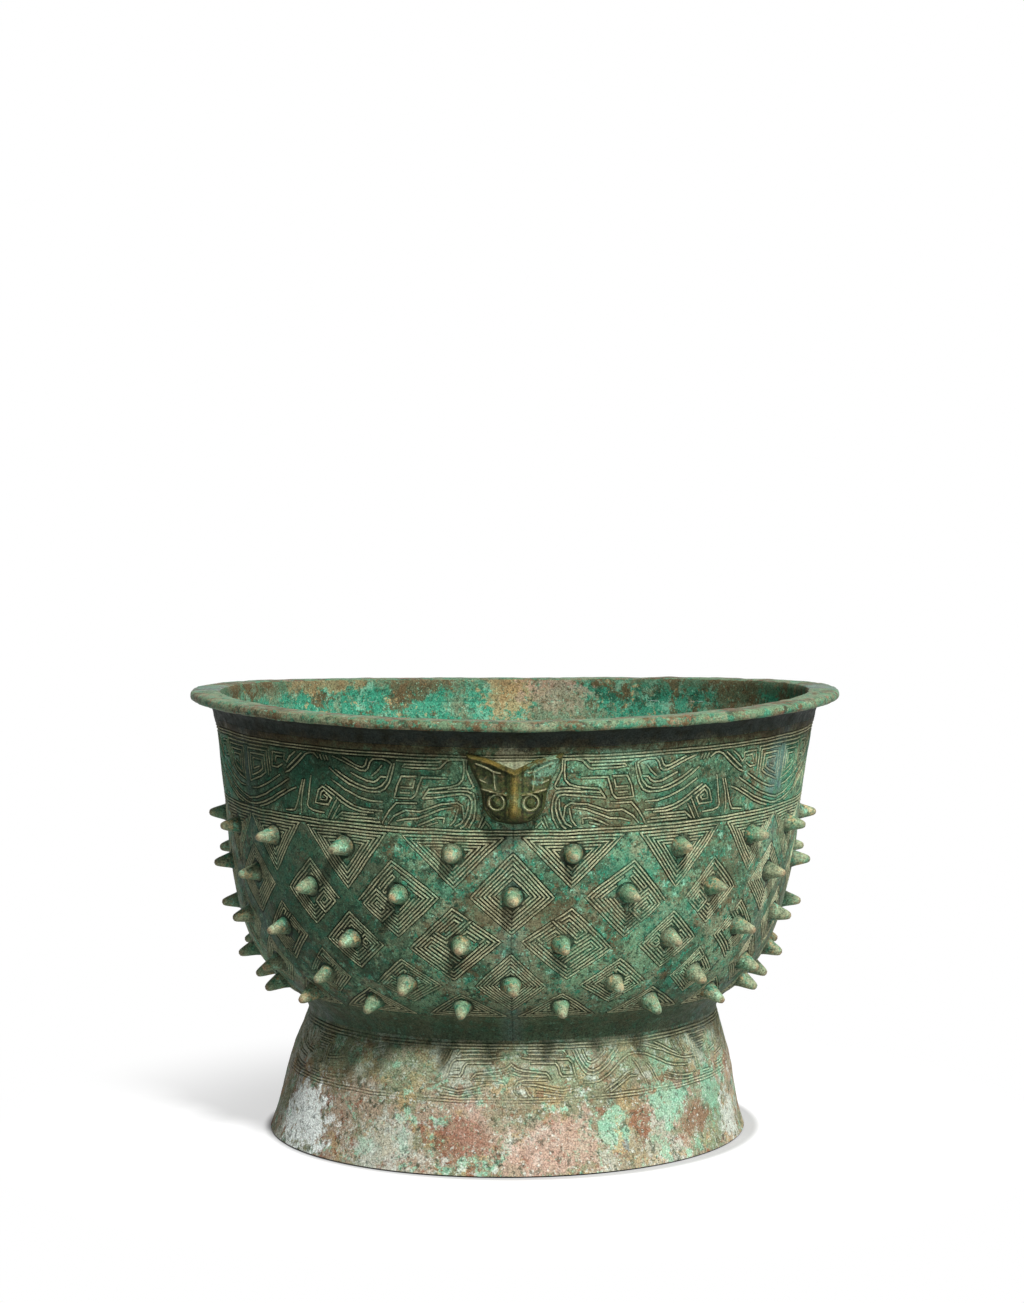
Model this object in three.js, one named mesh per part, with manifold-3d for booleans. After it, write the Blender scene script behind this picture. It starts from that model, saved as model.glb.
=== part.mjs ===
// A bronze gui: a deep, round vessel for cooked grain that stands on a spreading foot ring.
// Millimetres, +Z up. The foot's lower edge rests on z = 0, the vessel's axis is the Z axis
// and the front animal mask faces -Y.
import * as THREE from "three";
import { mergeVertices } from "three/addons/utils/BufferGeometryUtils.js";
import Module from "manifold-3d";

// Overall sizes
const RIM_HEIGHT = 175;
const NECK_RADIUS = 120.6;
const WAIST_RADIUS = 82.3;
const FOOT_HEIGHT = 49;
const FOOT_SPREAD = 13.7;
const WALL = 3;
const FLOOR = 3.5;
const FLOOR_SAG = 9;
const FOOT_WALL = 3.6;
const FOOT_SEAT = 4;

// The lip: a narrow flange that stands out from the top of the neck, on a short hollow curve
const LIP_OVERHANG = 9.4;
const LIP_THICKNESS = 4.3;
const LIP_ROUNDING = 1.4;
const LIP_NECK = 5.7;
const LIP_HOLLOW = 3;

// The casting is a little saddle-shaped: its sides stand higher than its front and back
const SADDLE = 2;

// Bosses: rows up the belly, by height on the wall, each turned half a step from the next
const BOSSES_PER_ROW = 18;
const BOSS_RADIUS = 4.7;
const BOSS_LENGTH = 8.3;
const BOSS_SIDES = 7;
const BOSS_DROOP = 0.75;
const BOSS_ROWS = [0.147, 0.226, 0.38, 0.526, 0.655];

// Cast ridges with a sharp crest. They draw a net of lozenges round the bosses and edge the friezes.
const RIDGE_HEIGHT = 0.7;
const RIDGE_WIDTH = 1.8;
const NET_GAP = 1.6;
const NECK_BORDERS = [0.73, 0.96];

// The foot's frieze: the main strokes of a dragon, as shares of the way from the front to the next
// mould seam and of the foot's height. It faces its mirror image at each seam.
const DRAGON_COUNT = 6;
const FOOT_BORDERS = [0.57, 0.94];
const FOOT_DRAGON = [
  [[0.04, 0.87], [0.24, 0.85], [0.27, 0.75], [0.28, 0.7]],
  [[0.15, 0.7], [0.03, 0.69], [0.02, 0.63]],
  [[0.05, 0.67], [0.21, 0.62], [0.28, 0.64]],
  [[0.26, 0.9], [0.32, 0.74], [0.38, 0.73], [0.49, 0.9]],
  [[0.31, 0.66], [0.42, 0.72], [0.53, 0.85], [0.63, 0.82], [0.74, 0.73], [0.87, 0.69]],
  [[0.62, 0.76], [0.68, 0.6]],
  [[0.92, 0.61], [0.92, 0.87], [1, 0.87]],
];

// Animal masks on the neck, each keyed to a tenon that is cast on the wall
const MASK_COUNT = 3;
const MASK_WIDTH = 35;
const MASK_HEIGHT = 26;
const MASK_REACH = 11.5;
const MASK_EDGE = 1.3;
const MASK_LEVEL = 0.869;
const TENON_SIZE = 8;
const TENON_REACH = 4.2;

// Chaplets: bronze spacers that held the core off the mould, left in the floor
const CHAPLET_COUNT = 6;
const CHAPLET_SIZE = 9;
const CHAPLET_THICKNESS = 2.2;
const CHAPLET_COVER = 1.4;
const CHAPLET_RING = 36;

const CLEARANCE = 0.3;
const SEGMENTS = 54;
const LIP_UNDERSIDE = RIM_HEIGHT - LIP_THICKNESS;
const SEAT_HEIGHT = LIP_UNDERSIDE - LIP_NECK;
const SEAT_INNER = WAIST_RADIUS - FOOT_SEAT;
const FOOT_RADIUS = WAIST_RADIUS + FOOT_SPREAD;
const BURIED = WALL / 2;
const BOSS_STEP = (2 * Math.PI) / BOSSES_PER_ROW;

// The belly and neck, from the waist to the lip: shares of the way out and of the way up
const BELLY = [
  [0.057, 0.039], [0.162, 0.073], [0.279, 0.099], [0.402, 0.147], [0.517, 0.198],
  [0.627, 0.267], [0.713, 0.353], [0.775, 0.44], [0.817, 0.526], [0.869, 0.698],
  [0.901, 0.784], [0.969, 0.957], [1, 1],
];

// The foot ring's outer face, from the waist down: shares of the way out and of the way down
const FOOT = [
  [0, 0], [0.05, 0.06], [0.2, 0.18], [0.4, 0.35], [0.56, 0.51], [0.69, 0.69], [0.82, 0.86], [0.96, 0.96], [1, 1],
];

// Half of a mask's outline, from the notch between the ears down to the muzzle:
// shares of its half width and half height
const MASK_OUTLINE = [
  [0, 0.55], [0.28, 0.7], [0.62, 0.9], [1, 1], [0.92, 0.7], [0.8, 0.32],
  [0.68, -0.05], [0.66, -0.4], [0.58, -0.7], [0.36, -0.92], [0, -1],
];
const MASK_RINGS = [1, 0.92, 0.66, 0.34];

const wasm = await Module();
wasm.setup();

const PATINA = new THREE.MeshStandardMaterial({ color: 0x4f5d47, roughness: 0.75, metalness: 0.4 });
const LIP_PATINA = new THREE.MeshStandardMaterial({ color: 0x8b8266, roughness: 0.75, metalness: 0.4 });
const MASK_BRONZE = new THREE.MeshStandardMaterial({ color: 0x6b6238, roughness: 0.5, metalness: 0.6 });
const CHAPLET_BRONZE = new THREE.MeshStandardMaterial({ color: 0x7d5a3a, roughness: 0.6, metalness: 0.6 });

// Goes smoothly from 0 to 1 as t goes from 0 to 1
function smoothStep(t) {
  const s = Math.min(Math.max(t, 0), 1);
  return s * s * (3 - 2 * s);
}

// How much the saddle lifts a place at this angle from the front
function saddleLift(angle) {
  return -SADDLE * Math.cos(2 * angle);
}

function bellyPoints() {
  return BELLY.map(([out, up]) => new THREE.Vector2(
    WAIST_RADIUS + out * (NECK_RADIUS - WAIST_RADIUS),
    FOOT_HEIGHT + up * (SEAT_HEIGHT - FOOT_HEIGHT),
  ));
}

// Moves each point of an open curve to its left by the given distance
function offsetCurve(points, distance) {
  return points.map((point, i) => {
    const before = points[Math.max(i - 1, 0)];
    const after = points[Math.min(i + 1, points.length - 1)];
    const along = after.clone().sub(before).normalize();
    return new THREE.Vector2(point.x - along.y * distance, point.y + along.x * distance);
  });
}

// The radius and slope (outward per unit of height) at a height on a face given from the bottom up
function faceAt(points, height) {
  const next = Math.max(points.findIndex((point) => point.y >= height), 1);
  const low = points[next - 1];
  const high = points[next];
  const slope = (high.x - low.x) / (high.y - low.y);
  return { radius: low.x + slope * (height - low.y), slope };
}

function wallAt(height) {
  return faceAt([new THREE.Vector2(WAIST_RADIUS, FOOT_HEIGHT), ...bellyPoints()], height);
}

// How far the saddle lifts what is cast on the wall, from nothing at the waist
function wallLift(angle, height) {
  return saddleLift(angle) * smoothStep((height - FOOT_HEIGHT) / FOOT_HEIGHT);
}

// The underside of the floor sags towards the axis
function undersideAt(radius) {
  return FOOT_HEIGHT - FLOOR_SAG * (1 - (radius / SEAT_INNER) ** 2);
}

// Turns a profile of radius and height about the Z axis, with a facet's middle at the front
function revolve(profile) {
  const lathe = new THREE.LatheGeometry(profile, SEGMENTS, Math.PI / SEGMENTS);
  return lathe.rotateX(Math.PI / 2);
}

function toSolid(geometry) {
  const plain = new THREE.BufferGeometry();
  plain.setAttribute("position", geometry.getAttribute("position"));
  plain.setIndex(geometry.index);
  const merged = mergeVertices(plain, 1e-4);
  const corners = merged.index.array;
  const faces = [];
  for (let i = 0; i < corners.length; i += 3) {
    const [a, b, c] = [corners[i], corners[i + 1], corners[i + 2]];
    if (a !== b && b !== c && c !== a) faces.push(a, b, c);
  }
  return new wasm.Manifold(new wasm.Mesh({
    numProp: 3,
    vertProperties: merged.attributes.position.array,
    triVerts: new Uint32Array(faces),
  }));
}

function toMesh(solid, name, material) {
  const data = solid.getMesh();
  const geometry = new THREE.BufferGeometry();
  geometry.setAttribute("position", new THREE.BufferAttribute(new Float32Array(data.vertProperties), 3));
  geometry.setIndex(new THREE.BufferAttribute(new Uint32Array(data.triVerts), 1));
  geometry.computeVertexNormals();
  const mesh = new THREE.Mesh(geometry, material);
  mesh.name = name;
  return mesh;
}

// The wall and floor in one profile: under the floor, up the outside, down the inside
function shell() {
  const underside = [0, 0.5, 0.85].map((share) => new THREE.Vector2(
    share * SEAT_INNER,
    undersideAt(share * SEAT_INNER),
  ));
  const seat = [new THREE.Vector2(SEAT_INNER, FOOT_HEIGHT), new THREE.Vector2(WAIST_RADIUS, FOOT_HEIGHT)];
  const outside = bellyPoints();
  const inside = offsetCurve(outside, WALL).filter((_, i) => i % 2 === 0).reverse();
  inside[0].set(NECK_RADIUS - WALL, SEAT_HEIGHT);
  const floor = underside.map((point) => new THREE.Vector2(point.x, point.y + FLOOR)).reverse();
  const face = withBorders(outside, NECK_BORDERS.map(heightOnWall));
  return toSolid(revolve([...underside, ...seat, ...face, ...inside, ...floor]));
}

// One boss: a blunt cone of a few rings whose root is buried in the wall
function bossGeometry() {
  const profile = [
    new THREE.Vector2(0, -BURIED),
    new THREE.Vector2(BOSS_RADIUS, -BURIED),
    new THREE.Vector2(0.9 * BOSS_RADIUS, 0.3 * BOSS_LENGTH),
    new THREE.Vector2(0.45 * BOSS_RADIUS, 0.85 * BOSS_LENGTH),
    new THREE.Vector2(0, BOSS_LENGTH),
  ];
  return new THREE.LatheGeometry(profile, BOSS_SIDES, Math.PI / BOSS_SIDES);
}

// Puts a boss on the wall at a height and an angle from the front, pointing out and a little down
function placeBoss(height, angle) {
  const { radius, slope } = wallAt(height);
  const geometry = bossGeometry();
  geometry.rotateX(Math.PI + BOSS_DROOP * Math.atan(slope));
  geometry.translate(0, -radius, height + wallLift(angle, height));
  geometry.rotateZ(angle);
  return toSolid(geometry);
}

function heightOnWall(share) {
  return FOOT_HEIGHT + share * (SEAT_HEIGHT - FOOT_HEIGHT);
}

function bosses() {
  const placed = [];
  BOSS_ROWS.forEach((share, row) => {
    const turn = row % 2 === 0 ? 0.5 : 0;
    for (let i = 0; i < BOSSES_PER_ROW; i += 1) {
      placed.push(placeBoss(heightOnWall(share), BOSS_STEP * (i + turn)));
    }
  });
  return placed;
}

// A ridge through places given as angle and height. The radius of its face comes from its height.
function ridge(places, radiusAt, closed) {
  const count = places.length;
  const vertices = [];
  const addPoint = (angle, height, standing) => {
    const radius = radiusAt(height) + standing;
    vertices.push(radius * Math.sin(angle), -radius * Math.cos(angle), height + wallLift(angle, height));
  };
  const direction = (from, to) => {
    const turn = Math.sin(to[0] - from[0]);
    return new THREE.Vector2(turn * radiusAt(from[1]), to[1] - from[1]).normalize();
  };
  places.forEach((place, i) => {
    const before = closed || i > 0 ? direction(places[(i + count - 1) % count], place) : null;
    const after = closed || i < count - 1 ? direction(place, places[(i + 1) % count]) : null;
    const along = (before ?? after).clone().add(after ?? before).normalize();
    const reach = RIDGE_WIDTH / 2 / along.dot(after ?? before);
    const turn = (along.y * reach) / radiusAt(place[1]);
    addPoint(place[0], place[1], RIDGE_HEIGHT);
    addPoint(place[0] - turn, place[1] + along.x * reach, -BURIED / 2);
    addPoint(place[0] + turn, place[1] - along.x * reach, -BURIED / 2);
  });
  const geometry = new THREE.BufferGeometry();
  geometry.setAttribute("position", new THREE.BufferAttribute(new Float32Array(vertices), 3));
  geometry.setIndex(ridgeTriangles(count, closed));
  return toSolid(geometry);
}

function ridgeTriangles(count, closed) {
  const triangles = closed ? [] : [0, 1, 2, 3 * count - 3, 3 * count - 1, 3 * count - 2];
  const steps = closed ? count : count - 1;
  for (let i = 0; i < steps; i += 1) {
    const a = 3 * i;
    const b = 3 * ((i + 1) % count);
    for (let side = 0; side < 3; side += 1) {
      const next = (side + 1) % 3;
      triangles.push(a + side, b + side, a + next, b + side, b + next, a + next);
    }
  }
  return triangles;
}

// The zigzag between two rows of bosses. Under each boss of the upper row it comes down to the lower one.
function zigzag(row) {
  const low = heightOnWall(BOSS_ROWS[row]) + NET_GAP;
  const high = heightOnWall(BOSS_ROWS[row + 1]) - NET_GAP;
  const places = Array.from({ length: 2 * BOSSES_PER_ROW }, (_, i) => [
    (i * BOSS_STEP) / 2,
    (i + row) % 2 === 0 ? low : high,
  ]);
  return ridge(places, (height) => wallAt(height).radius, true);
}

// A face, given from the bottom up, with a ridge all the way round at each of the heights
function withBorders(points, heights) {
  const half = RIDGE_WIDTH / 2;
  const clear = points.filter((point) => heights.every((height) => Math.abs(point.y - height) > half));
  const ridges = heights.flatMap((height) => [-half, 0, half].map((step) => new THREE.Vector2(
    faceAt(points, height + step).radius + (step === 0 ? RIDGE_HEIGHT : 0),
    height + step,
  )));
  return [...clear, ...ridges].sort((a, b) => a.y - b.y);
}

// A box with its centre at a distance in front of the axis, turned about the axis
function turnedBox(size, distance, height, angle) {
  const geometry = new THREE.BoxGeometry(size.x, size.y, size.z);
  geometry.translate(0, -distance, height);
  geometry.rotateZ(angle);
  return toSolid(geometry);
}

function maskHeight(angle) {
  return FOOT_HEIGHT + MASK_LEVEL * (SEAT_HEIGHT - FOOT_HEIGHT) + saddleLift(angle);
}

// The tenon, or with a clearance the mortise in the back of the mask. Their end faces touch.
function tenon(angle, clearance) {
  const height = maskHeight(angle);
  const { radius } = wallAt(height);
  const root = radius - BURIED;
  const end = radius + TENON_REACH;
  const side = TENON_SIZE + 2 * clearance;
  return turnedBox(new THREE.Vector3(side, end - root, side), (root + end) / 2, height, angle);
}

// The pocket in the floor's underside that a chaplet sits in, with its clearance, or the chaplet itself
function chapletBlock(angle, clearance, thickness) {
  const ceiling = undersideAt(CHAPLET_RING) + FLOOR - CHAPLET_COVER;
  const side = CHAPLET_SIZE + 2 * clearance;
  return turnedBox(new THREE.Vector3(side, side, thickness), CHAPLET_RING, ceiling - thickness / 2, angle);
}

function evenAngles(count) {
  return Array.from({ length: count }, (_, i) => (2 * Math.PI * i) / count);
}

function bowl() {
  const net = BOSS_ROWS.slice(1).map((_, row) => zigzag(row));
  const added = [...bosses(), ...net, ...evenAngles(MASK_COUNT).map((angle) => tenon(angle, 0))];
  const body = wasm.Manifold.union([shell(), ...added]);
  const pockets = evenAngles(CHAPLET_COUNT).map((angle) => chapletBlock(angle, CLEARANCE, 2 * FLOOR));
  return toMesh(pockets.reduce((solid, pocket) => solid.subtract(pocket), body), "bowl", PATINA);
}

// Lifts and lowers the lip round the mouth. The seat on the bowl stays flat.
function saddle(geometry) {
  const position = geometry.getAttribute("position");
  for (let i = 0; i < position.count; i += 1) {
    const angle = Math.atan2(position.getX(i), -position.getY(i));
    const share = smoothStep((position.getZ(i) - SEAT_HEIGHT) / LIP_NECK);
    position.setZ(i, position.getZ(i) + share * saddleLift(angle));
  }
  return geometry;
}

function rim() {
  const outer = NECK_RADIUS + LIP_OVERHANG;
  const inner = NECK_RADIUS - WALL;
  const profile = [
    [NECK_RADIUS, SEAT_HEIGHT],
    [NECK_RADIUS + LIP_HOLLOW / 3, LIP_UNDERSIDE - 0.4 * LIP_NECK],
    [NECK_RADIUS + LIP_HOLLOW, LIP_UNDERSIDE - 0.1 * LIP_NECK],
    [outer - LIP_ROUNDING, LIP_UNDERSIDE],
    [outer, LIP_UNDERSIDE + LIP_ROUNDING],
    [outer, RIM_HEIGHT - LIP_ROUNDING],
    [outer - LIP_ROUNDING, RIM_HEIGHT],
    [inner + LIP_ROUNDING, RIM_HEIGHT],
    [inner, RIM_HEIGHT - LIP_ROUNDING],
    [inner, SEAT_HEIGHT],
    [NECK_RADIUS, SEAT_HEIGHT],
  ].map(([radius, height]) => new THREE.Vector2(radius, height));
  return toMesh(toSolid(saddle(revolve(profile))), "rim", LIP_PATINA);
}

function footPoints() {
  return FOOT.map(([out, down]) => new THREE.Vector2(
    WAIST_RADIUS + out * (FOOT_RADIUS - WAIST_RADIUS),
    FOOT_HEIGHT * (1 - down),
  ));
}

function dragons() {
  const points = footPoints().reverse();
  const radiusAt = (height) => faceAt(points, height).radius;
  const ridges = [];
  const sector = (2 * Math.PI) / DRAGON_COUNT;
  for (let i = 0; i < DRAGON_COUNT; i += 1) {
    FOOT_DRAGON.forEach((stroke) => {
      const places = stroke.map(([across, up]) => [
        sector * (i % 2 === 0 ? i + across : i + 1 - across),
        up * FOOT_HEIGHT,
      ]);
      ridges.push(ridge(places, radiusAt, false));
    });
  }
  return ridges;
}

// The foot ring: a thin wall that spreads from the waist to the lower edge, open underneath
function footRing() {
  const outside = footPoints();
  const inside = offsetCurve(outside, -FOOT_WALL);
  inside[0].set(SEAT_INNER, FOOT_HEIGHT);
  inside[inside.length - 1].set(FOOT_RADIUS - FOOT_WALL, 0);
  const kept = inside.filter((_, i) => i !== 1 && i !== FOOT.length - 2);
  const face = withBorders(outside.reverse(), FOOT_BORDERS.map((share) => share * FOOT_HEIGHT));
  const profile = [...kept, ...face, kept[0].clone()];
  return toMesh(wasm.Manifold.union([toSolid(revolve(profile)), ...dragons()]), "foot_ring", PATINA);
}

// How far a mask stands out from the wall, at shares of its half width and half height:
// a nose ridge that swells to the muzzle, a pair of bulging eyes and two low, leaf-shaped ears
function maskRelief(across, up) {
  const bump = (x, y, wide, tall) => Math.exp(-(((across - x) / wide) ** 2) - ((up - y) / tall) ** 2);
  const muzzle = bump(0, -0.62, 0.46, 0.4);
  const ridge = bump(0, 0, 0.2, 0.6);
  const eyes = bump(0.36, -0.18, 0.17, 0.2) + bump(-0.36, -0.18, 0.17, 0.2);
  const ears = bump(0.62, 0.55, 0.34, 0.3) + bump(-0.62, 0.55, 0.34, 0.3);
  const face = bump(0, -0.2, 0.62, 0.6);
  return MASK_REACH * Math.min(0.16 + 0.3 * face + 0.42 * muzzle + 0.22 * ridge + 0.16 * eyes + 0.16 * ears, 1);
}

function maskOutline() {
  const right = MASK_OUTLINE.map(([across, up]) => new THREE.Vector2(across, up));
  const left = right.slice(1, -1).reverse().map((point) => new THREE.Vector2(-point.x, point.y));
  return [...right, ...left];
}

// A mask as a closed solid: rings of points that shrink to its middle, on the front and on the back.
// The back follows the wall a clearance away.
function maskShape(angle) {
  const outline = maskOutline();
  const middle = new THREE.Vector2(0, -0.1);
  const level = maskHeight(angle);
  const vertices = [];
  const addPoint = (share, relief) => {
    const height = level + (share.y * MASK_HEIGHT) / 2;
    const across = (share.x * MASK_WIDTH) / 2;
    const radius = wallAt(height).radius + CLEARANCE + relief;
    vertices.push(across, -Math.sqrt(radius ** 2 - across ** 2), height);
  };
  const addFace = (reliefAt) => {
    MASK_RINGS.forEach((ring) => outline.forEach((point) => {
      const share = middle.clone().lerp(point, ring);
      addPoint(share, reliefAt(share, ring));
    }));
    addPoint(middle, reliefAt(middle, 0));
  };
  addFace((share, ring) => (ring === 1 ? MASK_EDGE : maskRelief(share.x, share.y)));
  const perFace = vertices.length / 3;
  addFace(() => 0);
  const geometry = new THREE.BufferGeometry();
  geometry.setAttribute("position", new THREE.BufferAttribute(new Float32Array(vertices), 3));
  geometry.setIndex(maskTriangles(outline.length, perFace));
  geometry.rotateZ(angle);
  return toSolid(geometry);
}

function maskTriangles(around, perFace) {
  const triangles = [];
  const last = MASK_RINGS.length - 1;
  for (let i = 0; i < around; i += 1) {
    const j = (i + 1) % around;
    for (let ring = 0; ring < last; ring += 1) {
      const [a, b] = [ring * around + i, ring * around + j];
      const [c, d] = [a + around, b + around];
      triangles.push(a, c, b, b, c, d);
      triangles.push(perFace + a, perFace + b, perFace + c, perFace + b, perFace + d, perFace + c);
    }
    const [a, b] = [last * around + i, last * around + j];
    triangles.push(a, perFace - 1, b);
    triangles.push(perFace + a, perFace + b, 2 * perFace - 1);
    triangles.push(i, j, perFace + i, j, perFace + j, perFace + i);
  }
  return triangles;
}

// The room that the masks leave for the neck's borders, with their clearance
function borderRooms() {
  return NECK_BORDERS.map((share) => {
    const height = heightOnWall(share);
    const { radius } = wallAt(height);
    const half = RIDGE_WIDTH / 2 + CLEARANCE;
    const outer = radius + RIDGE_HEIGHT + CLEARANCE;
    const inner = radius - WALL;
    const corners = [[inner, -half], [outer, -half], [outer, half], [inner, half], [inner, -half]];
    return toSolid(revolve(corners.map(([out, up]) => new THREE.Vector2(out, height + up))));
  });
}

function mask(angle, name) {
  const rooms = [tenon(angle, CLEARANCE), ...borderRooms()];
  return toMesh(rooms.reduce((solid, room) => solid.subtract(room), maskShape(angle)), name, MASK_BRONZE);
}

function chaplet(angle, name) {
  return toMesh(chapletBlock(angle, 0, CHAPLET_THICKNESS), name, CHAPLET_BRONZE);
}

const vessel = new THREE.Group();
vessel.name = "bronze_gui";
vessel.add(bowl(), rim(), footRing());
["mask_front", "mask_rear_right", "mask_rear_left"].forEach((name, i) => {
  vessel.add(mask(evenAngles(MASK_COUNT)[i], name));
});
evenAngles(CHAPLET_COUNT).forEach((angle, i) => {
  vessel.add(chaplet(angle, `chaplet_${i + 1}`));
});

export default vessel;
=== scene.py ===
# A bronze gui, a bossed food vessel on a spreading foot ring, dressed over its CAD frame.
# Lengths in this file are in millimetres unless a name says otherwise. They become metres in the meshes.
import math
import random

import bmesh
import bpy
import numpy as np
from mathutils import Matrix, Vector, geometry, noise


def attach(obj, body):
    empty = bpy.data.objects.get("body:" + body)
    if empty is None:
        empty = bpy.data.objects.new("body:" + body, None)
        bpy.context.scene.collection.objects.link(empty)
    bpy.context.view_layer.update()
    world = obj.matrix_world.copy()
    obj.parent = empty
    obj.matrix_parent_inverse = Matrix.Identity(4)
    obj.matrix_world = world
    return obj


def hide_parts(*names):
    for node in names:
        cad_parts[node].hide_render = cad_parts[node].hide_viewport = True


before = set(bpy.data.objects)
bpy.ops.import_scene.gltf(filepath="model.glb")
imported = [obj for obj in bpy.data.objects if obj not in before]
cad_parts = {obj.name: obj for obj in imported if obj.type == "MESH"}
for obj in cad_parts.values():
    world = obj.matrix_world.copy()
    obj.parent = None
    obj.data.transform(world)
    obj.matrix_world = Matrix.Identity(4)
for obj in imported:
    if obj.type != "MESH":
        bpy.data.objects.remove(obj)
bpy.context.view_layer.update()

bl_info = {
    "name": "Bronze Gui Vessel",
    "version": (1, 0, 0),
    "blender": (4, 5, 0),
    "location": "3D View > Sidebar > Bronze Gui",
    "description": "Dresses the frame of a bossed bronze gui with its cast ornament and patina",
    "category": "Object",
}

MM = 0.001

# The wall has six sectors, one for each section of the mould, and each is the mirror of the next
SECTORS = 6
SECTOR_ANGLE = math.pi / 3
COLUMNS_PER_SECTOR = 60
LIP_SIDES = SECTORS * COLUMNS_PER_SECTOR

# The outer face from the foot's edge to the lip, as radius and height
OUTER_FACE = [
    (96, 0), (93.4, 8), (91.5, 16), (89.9, 24), (87.8, 32), (85.1, 40), (83.1, 46), (82.3, 49),
    (84.5, 53.5), (88.5, 57.5), (93, 60.5), (97.7, 66), (102.1, 72), (106.3, 80), (109.6, 90),
    (112, 100), (113.6, 110), (114.7, 120), (115.6, 130), (116.8, 140), (118.1, 150), (119.4, 160),
    (120.6, 165),
]

# Where the pieces of the wall begin and end, as lengths up along the outer face from the foot's edge
FOOT_EDGE = 0.6
WAIST = 50.93
NECK_START = 144.05
LIP_SEAT = 177.06

# Thicknesses of the walls, and how many stations their inner faces have
WALL = 3
FOOT_WALL = 3.6
NECK_STATIONS = 9
BELLY_STATIONS = 22
FOOT_STATIONS = 14

# The floor: its edge, its two levels there, how much lower its middle hangs, its stations as shares of its
# radius, and how far along the face above the waist the wall begins to round into it
FLOOR_RADIUS = 78
FLOOR_TOP = 52.6
FLOOR_UNDERSIDE = 49
FLOOR_SAG = 9
FLOOR_SHARES = (0.93, 0.8, 0.6, 0.4, 0.2, 0.05)
FLOOR_ROUNDING = 9
FLOOR_CORNER = (78.3, 49)

# The edge that the foot stands on, as distances in from its outer face and heights
SOLE = [(0.7, 0.3), (1.5, 0), (2.6, 0)]
SOLE_CORNER = (3.2, 0.3)
SOLE_MARGIN = 2

# The casting leans and sags a little: its axis drifts sideways with height, and its mouth is saddle-shaped
AXIS_DRIFT = [(0, -2.3), (10, -2.1), (50, -0.1), (80, -0.8), (165, 0.9), (180, 1.0)]
SADDLE = 2.0
SADDLE_START = 55
SADDLE_RISE = 50

# Its surfaces wander as hands made them, in broad waves and small ones, but not where it stands
HAND_WAVE = 14
TREMOR_WAVE = 4.6
TREMOR_SHARE = 0.75
# Without a seed of its own, Blender's noise takes the time of day and each run comes out different
UNEVENNESS_SEED = 1795731647
LEVEL_HEIGHT = 12

# The cast lines are worn away in clouds: most of the depth that is lost, and how the clouds share it out
LINE_WEAR = 0.3
FOOT_LINE_WEAR = 0.8
WEAR_WAVE = 26
WEAR_MIDDLE = 0.45
WEAR_CONTRAST = 1.7

# The cast lines: thin ridges, each between two grooves, as distances from the ridge's middle
RIDGE_TOP = 0.2
RIDGE_FOOT = 0.43
GROOVE_FLOOR = 0.6
GROOVE_END = 0.92
# Their corners are mitred up to a limit, and their ends stand out by a share of the distance
MITRE_LIMIT = 0.3
END_SHARE = 0.8
# Where a line's outline is this much nearer to another line, it has run into it and is left out
OUTLINE_SLACK = 0.07
SHORTEST_LINE = 0.3

# Triangles on the plain wall, on the foot and along the lines, and how far they keep from a line
WALL_SPACING = 3.2
FOOT_SPACING = 1.3
LINE_SPACING = 5
LINE_CLEARANCE = 1.6
# Lines run this far past a sector's border, so that they cross the seams
OVERLAP = 2.0

# The lip's section, as radius and height, from the seat round the outside to the inner face
LIP_SECTION = [
    (120.6, 165), (120.8, 166.4), (121.3, 168), (122.2, 169.4), (123.6, 170.4), (125.6, 170.9),
    (127.8, 171.1), (129.0, 171.4), (129.7, 171.9), (130, 172.6), (130, 173.4), (129.7, 174.3),
    (129.0, 174.8), (127.8, 175), (125.2, 175), (122.0, 175), (119.2, 174.9), (118.2, 174.5),
    (117.7, 173.6), (117.6, 172), (117.6, 169), (117.6, 165),
]
# Within these radii and below these heights the lip has the inside's and the neck's patina; under the lip
# the neck's band of dark patina and painted shade runs on
LIP_INSIDE = 118.3
LIP_TOP = 174.4
LIP_EDGE = 128.5
LIP_UNDERSIDE = 171.3

# Bosses: blunt cones flaring at the root, as radius and height above the wall for one 8.4 wide and 8.3 long
BOSS_SECTION = [
    (5.2, -1.6), (4.7, -0.6), (4.3, 0.2), (3.9, 1.1), (3.5, 2.3), (3.1, 3.6), (2.7, 4.9), (2.3, 6.1),
    (1.85, 7.2), (1.25, 8.0), (0.45, 8.4),
]
BOSS_WIDTH = 8.4
BOSS_LENGTH = 8.3
BOSS_SIDES = 22
# How far a boss points down with the wall, as a share of the wall's slope
BOSS_DROOP = 0.75
# How much each may differ: share of length, share of width, droop, sway and turn in radians, and lean
BOSS_SPREADS = (0.07, 0.05, 0.07, 0.09, 0.006, 0.5)
BOSS_SEED = 7
# The sunk ring round each boss's root: where its floor ends and where it is level again
BOSS_RING_FLOOR = 4.3
BOSS_RING_END = 4.8
BOSS_RING_SIDES = 12

# The masks: how far they stand out and are sunk in the wall, the level of their middle along the height,
# half their width and height, and their triangles along the outline and inside it
MASK_NODES = ("mask_front", "mask_rear_right", "mask_rear_left")
MASK_REACH = 8
MASK_SUNK = 1.0
MASK_LEVEL = 149.8
MASK_HALF_WIDTH = 17.5
MASK_HALF_HEIGHT = 13
MASK_EDGE_SPACING = 0.45
MASK_SPACING = 0.42
MASK_CLEARANCE = 0.3
CHAPLETS = 6

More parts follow.
